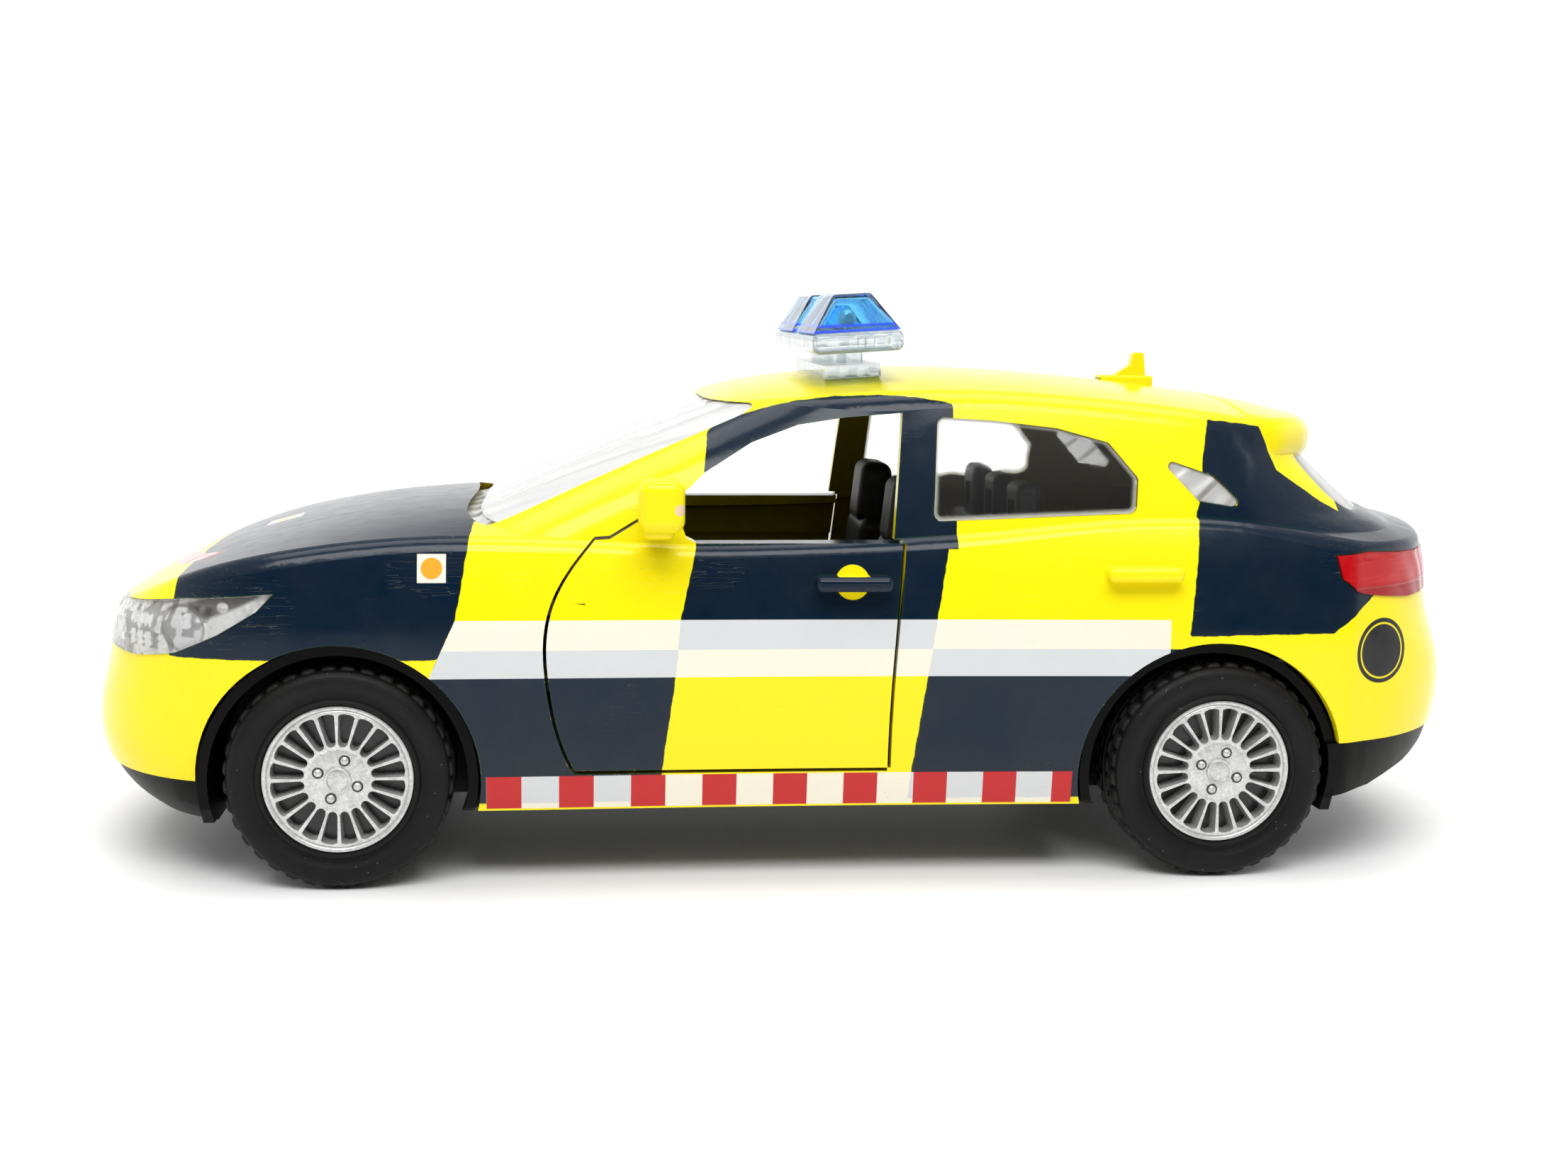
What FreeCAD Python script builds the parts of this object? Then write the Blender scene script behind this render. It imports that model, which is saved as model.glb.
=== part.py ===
import FreeCAD, Part
import math
import os
from FreeCAD import Placement, Rotation, Vector

# Die-cast toy patrol car, about 1:32. Millimetres, +X to the nose, +Y to the
# car's left, +Z up, origin on the ground under the middle of the car.

doc = FreeCAD.newDocument("patrol_car")
dims = doc.addObject("Spreadsheet::Sheet", "dims")

DRIVING = (
    ("wheelbase", 90.2), ("rear_axle_x", -42.4), ("axle_height", 11.4),
    ("tyre_radius", 11.4), ("tyre_width", 9.0), ("tyre_outer_y", 29.2),
    ("rim_radius", 7.5), ("hub_radius", 3.6), ("axle_radius", 1.2),
    ("spoke_slots", 20), ("arch_radius", 14.1), ("arch_height", 11.0),
    ("shoulder_round", 2.0), ("roof_round", 3.0), ("wall", 1.3), ("door_wall", 2.0), ("door_gap", 0.35), ("pane_gap", 0.08),
    ("pane_depth", 0.25), ("pane_wall", 0.9), ("hinge_x", 24.6), ("hinge_y", 28.7),
    ("hinge_pin_radius", 0.5), ("hinge_bore_radius", 0.7), ("mirror_reach", 33.8),
    ("beacon_length", 39.0), ("beacon_x", -5.2), ("beacon_tilt", 4.0),
    ("base_plate_z", 8.0), ("base_plate_depth", 1.2),
)
for row, (alias, value) in enumerate(DRIVING, start=1):
    dims.set("A%d" % row, alias)
    dims.set("B%d" % row, str(value))
    dims.setAlias("B%d" % row, alias)
doc.recompute()


def size(alias):
    """Return one driving dimension from the sheet."""
    return float(dims.get(alias))


FRONT_AXLE_X = size("rear_axle_x") + size("wheelbase")
REAR_AXLE_X = size("rear_axle_x")
AXLE_Z = size("axle_height")
WALL = size("wall")

# Lower body: half-lengths and half-width against height.
NOSE_PROFILE = ((4, 66), (6.5, 69.5), (8.5, 72.6), (11, 74.4), (14.5, 75.2), (19, 74.6), (22, 73.8),
                (25, 73.4), (27, 72.9), (28.5, 71.8), (31, 70.4), (35, 68.5), (42, 66))
TAIL_PROFILE = ((4, 66), (8, 71), (12, 74), (17.5, 75.2), (21, 75.0), (24, 74.1), (27, 73.1), (30, 72.7),
                (33, 72.3), (35.5, 71.0), (37.5, 69.3), (42, 66))
WIDTH_PROFILE = ((4, 27.6), (8, 28.6), (12, 29.1), (16, 29.5), (20, 29.9), (24, 30.1), (27, 30.0),
                 (30, 29.5), (33, 28.9), (35.5, 28.1), (38, 27.1), (42, 25.2))
LOWER_LEVELS = (4, 6.5, 9, 12, 15, 18, 21, 24, 27, 30, 33, 36, 39, 42)

# Greenhouse: windscreen, rear window and side glass against height.
SCREEN_PROFILE = ((30, 50.0), (34, 42.5), (37.8, 34.6), (41, 27.6), (44, 21.0), (47, 14.2), (49.2, 9.5),
                  (54, -1.0))
BACK_PROFILE = ((30, 71.0), (34, 69.4), (36.5, 67.2), (40, 63.4), (43.5, 59.4), (47, 57.6), (54, 54.0))
GLASS_PROFILE = ((30, 28.2), (34, 27.1), (38, 26.1), (42, 25.0), (46, 23.7), (49, 22.6), (54, 20.4))
UPPER_LEVELS = (30, 33, 36, 39, 42, 45, 48, 51, 54)

# Bonnet, cowl and deck: centre-line and belt-line heights along the car.
TOP_LINE = ((-82, 30.0), (-72, 35.4), (-66, 36.9), (-58, 38.0), (-40, 38.6), (0, 38.4), (29, 38.2),
            (36, 37.8), (44.7, 36.9), (51, 35.7), (57.6, 34.0), (62, 32.5), (67, 30.4), (71.5, 27.8), (82, 20.0))
BELT_LINE = ((-82, 28.0), (-66, 33.6), (-54, 35.8), (-44, 37.4), (-34, 37.6), (-12, 35.6), (11, 34.8), (27, 35.4),
             (35, 35.6), (42, 35.4), (50, 34.6), (58, 33.0), (63, 31.0), (68, 28.4), (82, 18.0))
ROOF_LINE = ((-82, 43.0), (-60, 47.0), (-52.5, 48.6), (-45, 49.8), (-35.6, 50.9), (-21.8, 51.9), (-12.7, 52.0),
             (-4.6, 51.6), (4.3, 50.6), (9.5, 49.4), (20, 45.5), (60, 28))
BELT_HALF = 27.0
ROOF_HALF = 23.5
ROOF_CROWN = 2.3


def along(pairs, at):
    """Smooth value at a place along hand-set (place, value) pairs."""
    last = len(pairs) - 1
    k = 0
    while k < last - 1 and at > pairs[k + 1][0]:
        k += 1

    def slope(n):
        low, high = max(n - 1, 0), min(n + 1, last)
        return (pairs[high][1] - pairs[low][1]) / (pairs[high][0] - pairs[low][0])

    span = pairs[k + 1][0] - pairs[k][0]
    step = (at - pairs[k][0]) / span
    rise = pairs[k + 1][1] - pairs[k][1]
    start, end = slope(k) * span, slope(k + 1) * span
    bend = step * (1 - step)
    return (pairs[k][1] + rise * step * step * (3 - 2 * step)
            + bend * ((1 - step) * start - step * end))


def closed_curve(half, pace):
    """Closed wire through a left half-outline and its mirror image, at a given pace."""
    points = [Vector(*p) for p in half]
    points += [Vector(x, -y, z) for x, y, z in reversed(half[1:-1])]
    curve = Part.BSplineCurve()
    curve.interpolate(Points=points, PeriodicFlag=True, Parameters=pace)
    return Part.Wire([curve.toShape()])


def pace_of(half):
    """Running length around a ring, so that all rings of one hull share it."""
    around = list(half) + [(x, -y, z) for x, y, z in reversed(half[:-1])]
    pace = [0.0]
    for a, b in zip(around, around[1:]):
        pace.append(pace[-1] + math.dist(a, b))
    return pace


def loft_rings(halves):
    """Closed solid through a stack of half-outlines and their mirror images."""
    pace = pace_of(halves[len(halves) // 2])
    return Part.makeLoft([closed_curve(half, pace) for half in halves], True, False)


def ring(z, nose, tail, wide, mid, powers, waist):
    """Waterline whose ends are rounded like superellipses."""
    ends = (0, 0.25, 0.5, 0.7, 0.85, 0.95)
    half = []
    for v in ends:
        half.append((mid[0] + (nose - mid[0]) * (1 - v ** powers[0]) ** (1 / powers[0]), wide * v, z))
    pieces = 8
    for k in range(pieces + 1):
        x = mid[0] + (mid[1] - mid[0]) * k / pieces
        half.append((x, wide - waist * math.sin(math.pi * k / pieces) ** 2, z))
    for v in reversed(ends):
        half.append((mid[1] - (tail + mid[1]) * (1 - v ** powers[1]) ** (1 / powers[1]), wide * v, z))
    return half


def top_block(height, inset, depth):
    """Solid below a crowned surface given by a height function."""
    rows = []
    for k in range(24):
        x = -80 + k * 160 / 23
        rows.append([Vector(x, y, height(x, abs(y)) - inset) for y in range(-35, 36, 7)])
    surface = Part.BSplineSurface()
    surface.interpolate(rows)
    return surface.toShape().extrude(Vector(0, 0, -depth))


def deck_height(x, y):
    """Bonnet, cowl and tail deck height."""
    top, belt = along(TOP_LINE, x), along(BELT_LINE, x)
    return top - (top - belt) * (y / BELT_HALF) ** 2.2


def roof_height(x, y):
    """Roof height."""
    return along(ROOF_LINE, x) - ROOF_CROWN * (y / ROOF_HALF) ** 2.4


def rounded_rim(shape, above, radius):
    """Round the longest edge that lies above a height."""
    rims = [edge for edge in shape.Edges if edge.BoundBox.ZMin > above]
    return shape.makeFillet(radius, [max(rims, key=lambda edge: edge.Length)])


def lower_hull(inset):
    """Bonnet, flanks and tail up to the belt, moved inwards."""
    rings = [ring(z, along(NOSE_PROFILE, z) - inset, along(TAIL_PROFILE, z) - inset,
                  along(WIDTH_PROFILE, z) - inset, (50, -50), (2.6, 2.6), 0.8) for z in LOWER_LEVELS]
    return loft_rings(rings).common(top_block(deck_height, inset, 60))


def upper_hull(inset):
    """Cabin above the belt, moved inwards."""
    lean = 1.0 + 0.9 * (1 if inset else 0)
    rings = [ring(z, along(SCREEN_PROFILE, z) - inset * lean, along(BACK_PROFILE, z) - inset * lean,
                  along(GLASS_PROFILE, z) - inset, (along(SCREEN_PROFILE, z) - 22, -36), (3.6, 3.2), 0.0)
             for z in UPPER_LEVELS]
    return loft_rings(rings).common(top_block(roof_height, inset, 40))


def hull(inset):
    """Whole outer form of the body, moved inwards."""
    return lower_hull(inset).fuse(upper_hull(inset))


def lower_skin(outside, inside):
    """Wall of the lower body between two depths, with its rounded shoulder."""
    return rounded_rim(lower_hull(outside).cut(lower_hull(inside)), 20, size("shoulder_round"))



def flat_prism(points, y_from, y_to, radius=0.0):
    """Prism across the car from an outline in side view, corners rounded."""
    wire = Part.makePolygon([Vector(x, y_from, z) for x, z in points + points[:1]])
    prism = Part.Face(wire).extrude(Vector(0, y_to - y_from, 0))
    return rounded_along(prism, Vector(0, 1, 0), radius)


def front_prism(points, x_from, x_to, radius=0.0):
    """Prism along the car from an outline in front view, corners rounded."""
    wire = Part.makePolygon([Vector(x_from, y, z) for y, z in points + points[:1]])
    prism = Part.Face(wire).extrude(Vector(x_to - x_from, 0, 0))
    return rounded_along(prism, Vector(1, 0, 0), radius)


def rounded_along(prism, direction, radius):
    """Round the prism's corners, the edges that run along a direction."""
    if radius <= 0:
        return prism
    corners = []
    for edge in prism.Edges:
        run = edge.Vertexes[1].Point - edge.Vertexes[0].Point
        if run.cross(direction).Length < 1e-6:
            corners.append(edge)
    return prism.makeFillet(radius, corners)


def curved_prism(points, y_from, y_to):
    """Prism across the car from an outline of smooth and straight runs."""
    edges = []
    for k, run in enumerate(points):
        start_next = points[(k + 1) % len(points)][0]
        path = [Vector(x, y_from, z) for x, z in list(run) + [start_next]]
        if len(path) == 2:
            edges.append(Part.makeLine(path[0], path[1]))
        else:
            curve = Part.BSplineCurve()
            curve.interpolate(path)
            edges.append(curve.toShape())
    return Part.Face(Part.Wire(edges)).extrude(Vector(0, y_to - y_from, 0))


def mirrored(shape):
    """The same shape on the other side of the car."""
    return shape.mirror(Vector(0, 0, 0), Vector(0, 1, 0))


def cylinder_y(radius, x, z, y_from, y_to):
    """Cylinder across the car."""
    return Part.makeCylinder(radius, y_to - y_from, Vector(x, y_from, z), Vector(0, 1, 0))


def block(x, y, z, radius=0.0):
    """Box from its ranges, all edges rounded."""
    solid = Part.makeBox(x[1] - x[0], y[1] - y[0], z[1] - z[0], Vector(x[0], y[0], z[0]))
    return solid.makeFillet(radius, solid.Edges) if radius > 0 else solid


PIECES = {}


def add(name, shape):
    """Add one piece to the document under its node name."""
    if shape.ShapeType == "Compound" and len(shape.Solids) == 1:
        shape = shape.Solids[0]
    piece = doc.addObject("Part::Feature", name)
    piece.Label = name
    piece.Shape = shape
    piece.Placement = shape.Placement
    PIECES[name] = piece
    return piece


def roof_spoiler():
    """Lip that carries the roof over the rear window."""
    lip = flat_prism([(-50, 49.0), (-56, 48.1), (-60.2, 47.2), (-61.0, 45.6), (-59.5, 44.6), (-55, 46.0),
                      (-50, 47.5)], -20.5, 20.5)
    plan = [Vector(-50, -21, 40), Vector(-50, 21, 40), Vector(-57, 20.5, 40), Vector(-60.2, 14, 40),
            Vector(-61.0, 0, 40), Vector(-60.2, -14, 40), Vector(-57, -20.5, 40), Vector(-50, -21, 40)]
    outline = Part.Face(Part.makePolygon(plan)).extrude(Vector(0, 0, 20))
    return lip.common(outline)


def door_handle(x, z, side):
    """Cast door handle: a bar standing off the panel."""
    bar = block((x - 3.9, x + 3.9), (28.0, 30.9), (z - 0.75, z + 0.75), 0.6)
    return bar if side > 0 else mirrored(bar)


HINGE_X = size("hinge_x")
HINGE_Y = size("hinge_y")
HINGE_LEVELS = ((19.6, 21.0), (27.4, 28.8))


def hinge_pin(panel):
    """Cut the knuckle pockets into the left door and set its hinge pin across them."""
    for low, high in HINGE_LEVELS:
        pocket = block((HINGE_X - 1.6, HINGE_X + 4), (HINGE_Y - 3, HINGE_Y + 0.1), (low - 0.35, high + 0.35))
        ring_room = Part.makeCylinder(1.35, high - low + 0.7, Vector(HINGE_X, HINGE_Y, low - 0.35))
        skin = block((HINGE_X - 2, HINGE_X + 4), (HINGE_Y + 0.55, HINGE_Y + 3), (low - 1, high + 1))
        panel = panel.cut(pocket).cut(ring_room.cut(skin))
    return panel.fuse(Part.makeCylinder(size("hinge_pin_radius"), 11.0, Vector(HINGE_X, HINGE_Y, 18.7)))


def hinge_knuckles():
    """Arms of the body that hold the left door's hinge pin."""
    arms = []
    for low, high in HINGE_LEVELS:
        tall = high - low
        eye = Part.makeCylinder(1.05, tall, Vector(HINGE_X, HINGE_Y, low))
        mouth = [(0, 0), (2.4, -1.8), (3, 3), (-3, 3), (-2.8, 1.0), (0, 0)]
        wedge = Part.makePolygon([Vector(HINGE_X + a, HINGE_Y + b, low - 1) for a, b in mouth])
        eye = eye.cut(Part.Face(wedge).extrude(Vector(0, 0, tall + 2)))
        arm = block((HINGE_X - 1.05, HINGE_X + 0.1), (HINGE_Y - 4.4, HINGE_Y - 0.4), (low, high))
        bridge = block((HINGE_X - 1.05, HINGE_X + 5.2), (HINGE_Y - 4.4, HINGE_Y - 3.3), (low, high))
        root = block((HINGE_X + 4.0, HINGE_X + 5.2), (HINGE_Y - 4.4, HINGE_Y + 0.4), (low, high))
        bore = Part.makeCylinder(size("hinge_bore_radius"), tall + 2, Vector(HINGE_X, HINGE_Y, low - 1))
        arms.append(eye.fuse(arm).fuse(bridge).fuse(root).cut(bore))
    return arms


# Outlines in side view, x and z.
DOOR_FRONT = ((24.4, 12.0), (26.0, 16.0), (26.9, 20.6), (27.2, 24.6), (26.5, 28.9), (25.0, 31.9))
DOOR_TOP = ((22.4, 35.2), (20.9, 35.3))
SAIL = ((17.9, 37.1), (14.4, 38.7), (13.2, 35.4), (12.2, 34.9))
DOOR_REAR = ((-8.7, 35.0), (-8.2, 29.0), (-7.7, 22.0), (-7.5, 12.0))
FRONT_OPENING = [(20.4, 35.0), (13.3, 40.0), (11.3, 41.9), (6.5, 44.9), (1.7, 46.7), (-3.2, 47.5), (-9.1, 48.0),
                 (-7.8, 34.0), (20.4, 34.0)]
SIDE_PANE = [(-12.7, 47.6), (-12.0, 37.1), (-33.3, 38.0), (-33.6, 41.6), (-30.6, 45.2), (-25.2, 46.6), (-18.6, 47.3)]
QUARTER_PANE = [(-35.6, 43.9), (-39.9, 39.3), (-45.2, 38.5), (-41.6, 41.9)]
SCREEN_PANE = [(-23.6, 35.0), (-20.4, 48.7), (20.4, 48.7), (23.6, 35.0)]
BACK_PANE = [(-20.0, 37.6), (-18.0, 44.4), (18.0, 44.4), (20.0, 37.6)]
HEADLAMP = [(77, 27.0), (69.6, 28.2), (62.9, 29.3), (53.6, 30.1), (55.2, 28.4), (59.1, 26.0), (63.6, 23.9),
            (68.2, 23.1), (77, 23.3)]
TAIL_LAMP = [(-53.9, 34.0), (-54.5, 31.6), (-57.1, 30.3), (-66.7, 29.1), (-77, 29.3), (-77, 33.2), (-59.6, 34.3)]
GRILLE = [(-10.5, 22.8), (-8.0, 14.2), (8.0, 14.2), (10.5, 22.8)]
LOWER_EDGE = [(80, -5), (80, 11.0), (58, 11.0), (58, 7.9), (-52, 7.9), (-52, 14.3), (-80, 14.3), (-80, -5)]

outer = hull(0)
inner = hull(WALL)
ARCH = size("arch_radius")
ARCH_Z = size("arch_height")
FRONT_ARCH_X = FRONT_AXLE_X
REAR_ARCH_X = REAR_AXLE_X + 0.9


def door_panel(gap):
    """Region of the left door, grown by a gap."""
    panel = curved_prism((DOOR_FRONT, DOOR_TOP[:1], DOOR_TOP[1:], SAIL[:1], SAIL[1:2], SAIL[2:3], SAIL[3:],
                          DOOR_REAR[:1], DOOR_REAR[1:3], DOOR_REAR[3:]), 24.0, 34.0)
    if gap <= 0:
        return panel
    grown = panel
    for dx, dz in ((gap, 0), (-gap, 0), (0, gap), (0, -gap)):
        moved = panel.copy()
        moved.translate(Vector(dx, 0, dz))
        grown = grown.fuse(moved)
    return grown


def arches(radius, y_in):
    """Cylinders that cut the four wheel openings."""
    solids = []
    for x in (FRONT_ARCH_X, REAR_ARCH_X):
        solids.append(cylinder_y(radius, x, ARCH_Z, y_in, 40))
        solids.append(cylinder_y(radius, x, ARCH_Z, -40, -y_in))
    return solids


PANE_INNER = size("pane_depth") + size("pane_wall")
upper_face = upper_hull(size("pane_depth"))
upper_back = upper_hull(PANE_INNER)
pane_skin = upper_face.cut(upper_back)
deck = lower_hull(-0.1)


def pane(prism, trimmed=False):
    """Window pane that follows the cabin's curve."""
    sheet = pane_skin.common(prism)
    return sheet.cut(deck) if trimmed else sheet


def shrunk(points, gap):
    """Outline moved towards its middle by a gap."""
    mid_a = sum(a for a, b in points) / len(points)
    mid_b = sum(b for a, b in points) / len(points)
    moved = []
    for a, b in points:
        reach = math.hypot(a - mid_a, b - mid_b)
        share = (reach - gap) / reach
        moved.append((mid_a + (a - mid_a) * share, mid_b + (b - mid_b) * share))
    return moved


GAP = size("pane_gap")
cabin_zone = upper_hull(-0.3)
screen_cut = front_prism(SCREEN_PANE, 2, 60, 2.0).common(cabin_zone)
back_cut = front_prism(BACK_PANE, -80, -50, 2.0).common(cabin_zone)

door_gap = door_panel(size("door_gap"))
cutters = [flat_prism(LOWER_EDGE, -40, 40), door_gap, mirrored(door_gap),
           flat_prism(FRONT_OPENING, -40, 40), flat_prism(SIDE_PANE, -40, 40, 0.8),
           flat_prism(QUARTER_PANE, -40, 40, 0.5), screen_cut, back_cut]
cutters += arches(ARCH, 10)
cutters += [flat_prism(HEADLAMP, 13, 40), flat_prism(HEADLAMP, -40, -13)]
cutters += [flat_prism(TAIL_LAMP, 12, 40), flat_prism(TAIL_LAMP, -40, -12)]
cutters += [front_prism(GRILLE, 60, 80, 1.0)]
shell = rounded_rim(outer.cut(inner), 46, size("roof_round"))
shell = rounded_rim(shell, 20, size("shoulder_round"))
for cutter in cutters:
    shell = shell.cut(cutter)
spoiler = roof_spoiler()
shell = shell.fuse(spoiler)
for side in (1, -1):
    shell = shell.fuse(door_handle(-33.4, 32.2, side))
for arm in hinge_knuckles():
    shell = shell.fuse(arm).fuse(mirrored(arm))
add("body_shell", shell)

# Doors, each with its cast handle.
panel = lower_skin(0, size("door_wall")).common(door_panel(0))
sail = upper_hull(0).cut(upper_hull(size("door_wall"))).common(door_panel(0))
panel = hinge_pin(panel.fuse(sail).fuse(door_handle(-3.5, 31.2, 1)))
add("door_left", panel)
add("door_right", mirrored(panel))

# Mirrors on the doors' corner triangles.
head = block((13.7, 18.2), (29.2, size("mirror_reach")), (36.6, 41.8), 1.2)
stem = block((14.6, 17.6), (27.4, 30.2), (35.6, 38.4), 0.6)
mirror = head.fuse(stem).cut(outer)
add("mirror_left", mirror)
add("mirror_right", mirrored(mirror))

# Window panes.
add("windscreen", pane(front_prism(shrunk(SCREEN_PANE, GAP), 2, 60, 2.0), True))
add("rear_window", pane(front_prism(shrunk(BACK_PANE, GAP), -80, -50, 2.0), True))
side_pane = pane(flat_prism(shrunk(SIDE_PANE, GAP), 10, 40, 0.8))
quarter_pane = pane(flat_prism(shrunk(QUARTER_PANE, GAP), 10, 40, 0.5))
for name, glass in (("side_window_", side_pane), ("quarter_window_", quarter_pane)):
    add(name + "left", glass)
    add(name + "right", mirrored(glass))

# Lamps: clear head lamp covers, silver lamp bowls, red tail lamps.
lens_skin = lower_skin(-0.15, 0.75)
bowl_skin = lower_skin(0.75, 1.6)
tail_skin = lower_skin(-0.2, 1.3)
lamp_zone = flat_prism(shrunk(HEADLAMP, GAP), 13 + GAP, 40)
tail_zone = flat_prism(shrunk(TAIL_LAMP, GAP), 12 + GAP, 40)
for name, skin, zone in (("headlamp_", lens_skin, lamp_zone), ("lamp_bowl_", bowl_skin, lamp_zone),
                         ("tail_lamp_", tail_skin, tail_zone)):
    lamp = skin.common(zone)
    add(name + "left", lamp)
    add(name + "right", mirrored(lamp))

# Grille: a chrome frame with bars.
grille_skin = lower_hull(0.1).cut(lower_hull(1.2))
frame = front_prism(shrunk(GRILLE, GAP), 60, 80, 1.0)
hole = front_prism(shrunk(GRILLE, 1.2), 60, 80, 0.6)
bars = []
for k in range(4):
    level = 15.7 + k * 1.75
    bars.append(block((60, 80), (-12, 12), (level, level + 0.6)))
grille = grille_skin.common(frame)
openwork = grille.cut(hole)
for bar in bars:
    openwork = openwork.fuse(grille.common(bar))
add("grille", openwork)

# Chassis: base plate, wheel wells, front lip and rear skirt.
plate_top = size("base_plate_z") + size("base_plate_depth")
base_zone = lower_hull(WALL + 0.15)
plate = base_zone.common(block((-54, 60), (-40, 40), (size("base_plate_z"), plate_top)))
skirt_zone = lower_hull(0.3)
lip = skirt_zone.common(block((55, 80), (-40, 40), (6.8, 10.9)))
skirt = skirt_zone.common(flat_prism([(-50, 14.2), (-80, 14.2), (-80, 13.6), (-71, 12.2), (-68, 10.7),
                                      (-62.8, 9.0), (-50, 8.0)], -40, 40))
chassis = plate.fuse(lip).fuse(skirt)
for well in arches(ARCH - 0.3, 15.6):
    chassis = chassis.fuse(well.common(block((-80, 80), (-28.2, 28.2), (7.0, 40))))
for well in arches(ARCH - 1.3, 16.6):
    chassis = chassis.cut(well)
for x in (FRONT_AXLE_X, REAR_AXLE_X):
    chassis = chassis.cut(cylinder_y(size("axle_radius") + 0.15, x, AXLE_Z, -40, 40))
add("chassis", chassis)

# Wheels and axles.
def wheel_rim(x, side):
    """Alloy-style rim with slots between the spokes."""
    radius, face = size("rim_radius"), size("tyre_outer_y")
    disc = cylinder_y(radius, x, AXLE_Z, face - 7.0, face - 0.4)
    hollow = cylinder_y(radius - 0.9, x, AXLE_Z, face - 1.2, face)
    hub = cylinder_y(size("hub_radius"), x, AXLE_Z, face - 1.5, face - 0.3)
    rim = disc.cut(hollow).fuse(hub)
    slot = block((x - 0.34, x + 0.34), (face - 3.0, face + 1), (AXLE_Z + size("hub_radius") + 0.4,
                                                             AXLE_Z + radius - 1.2))
    step = 360.0 / size("spoke_slots")
    for k in range(int(size("spoke_slots"))):
        turned = slot.copy()
        turned.rotate(Vector(x, 0, AXLE_Z), Vector(0, 1, 0), k * step)
        rim = rim.cut(turned)
    rim = rim.cut(cylinder_y(size("axle_radius"), x, AXLE_Z, 0, face - 2.0))
    return rim if side > 0 else mirrored(rim)


def tyre(x, side):
    """Rubber tyre with a stepped side wall."""
    radius, face, width = size("tyre_radius"), size("tyre_outer_y"), size("tyre_width")
    rim = size("rim_radius")
    profile = [(rim + 0.02, face), (radius, face - 0.9), (radius, face - width + 0.9), (rim + 0.02, face - width)]
    wire = Part.makePolygon([Vector(x + r, y, AXLE_Z) for r, y in profile + profile[:1]])
    ringed = Part.Face(wire).revolve(Vector(x, 0, AXLE_Z), Vector(0, 1, 0), 360)
    return ringed if side > 0 else mirrored(ringed)


for end, x in (("front", FRONT_AXLE_X), ("rear", REAR_AXLE_X)):
    reach = size("tyre_outer_y") - 2.0
    add("axle_" + end, cylinder_y(size("axle_radius"), x, AXLE_Z, -reach, reach))
    for name, side in (("left", 1), ("right", -1)):
        add("rim_%s_%s" % (end, name), wheel_rim(x, side))
        add("tyre_%s_%s" % (end, name), tyre(x, side))

# Interior: tub, seats, dashboard and steering wheel.
floor = block((-26.5, 33), (-24.5, 24.5), (plate_top, plate_top + 1.0))
shelf = block((-62, -26), (-24.5, 24.5), (28.0, 29.2))
bulkhead = block((-27.2, -26.0), (-24.5, 24.5), (plate_top, 29.2))
add("interior_tub", floor.fuse(bulkhead).fuse(shelf))


def seat(y):
    """Front seat with a rounded head rest."""
    cushion = block((-8.5, 5.5), (y - 6.0, y + 6.0), (plate_top + 1.0, 17.0), 1.2)
    back = block((-11.5, -7.5), (y - 6.0, y + 6.0), (15.0, 34.0), 1.4)
    head = block((-11.0, -7.2), (y - 3.8, y + 3.8), (33.0, 40.5), 1.4)
    tilted = back.fuse(head)
    tilted.rotate(Vector(-9.5, 0, 16), Vector(0, 1, 0), -6)
    return cushion.fuse(tilted)


for name, y in (("left", 12.0), ("right", -12.0)):
    add("seat_" + name, seat(y))
bench = block((-25.7, -14.0), (-20, 20), (plate_top + 1.0, 18.0), 1.2)
bench_back = block((-26.0, -22.2), (-20, 20), (16.0, 34.0), 1.2)
bench = bench.fuse(bench_back)
for y in (-12, 0, 12):
    rest = block((-25.8, -23.2), (y - 3.2, y + 3.2), (33.0, 40.0), 1.0)
    bench = bench.fuse(rest.cut(block((-30, -20), (y - 1.6, y + 1.6), (35.0, 38.0))))
add("rear_bench", bench)
dash = block((26.0, 32.0), (-23.5, 23.5), (22.0, 33.5), 1.5)
add("dashboard", dash)
wheel_ring = Part.makeTorus(4.6, 0.55, Vector(0, 0, 0), Vector(1, 0, 0.35))
hub = Part.makeCylinder(1.2, 5.0, Vector(-0.5, 0, -0.15), Vector(1, 0, -0.35))
spoke = block((-0.4, 0.4), (-4.6, 4.6), (-0.5, 0.5))
steering = wheel_ring.fuse(spoke).fuse(hub)
steering.translate(Vector(22.2, 12.0, 29.5))
add("steering_wheel", steering.cut(dash))

# Roof: light bar and aerial.
BAR_X = size("beacon_x")
TILT = size("beacon_tilt")
HALF = size("beacon_length") / 2


def tilted(solid):
    """Lean a roof piece with the roof's slope."""
    solid.rotate(Vector(BAR_X, 0, 52), Vector(0, 1, 0), TILT)
    return solid


def dome(side):
    """Blue lens with sloping faces."""
    low, high = 56.2, 60.1
    bottom = [(BAR_X - 4.6, 2.0), (BAR_X + 4.6, 2.0), (BAR_X + 4.6, HALF - 0.6), (BAR_X - 4.6, HALF - 0.6)]
    top = [(BAR_X - 2.0, 3.4), (BAR_X + 2.0, 3.4), (BAR_X + 2.0, HALF - 3.4), (BAR_X - 2.0, HALF - 3.4)]
    wires = []
    for z, corners in ((low, bottom), (high, top)):
        wires.append(Part.makePolygon([Vector(a, b, z) for a, b in corners + corners[:1]]))
    lens = Part.makeLoft(wires, True, True)
    lens = lens.makeFillet(0.6, [edge for edge in lens.Edges if edge.BoundBox.ZMax > low + 0.1])
    return lens if side > 0 else mirrored(lens)


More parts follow.
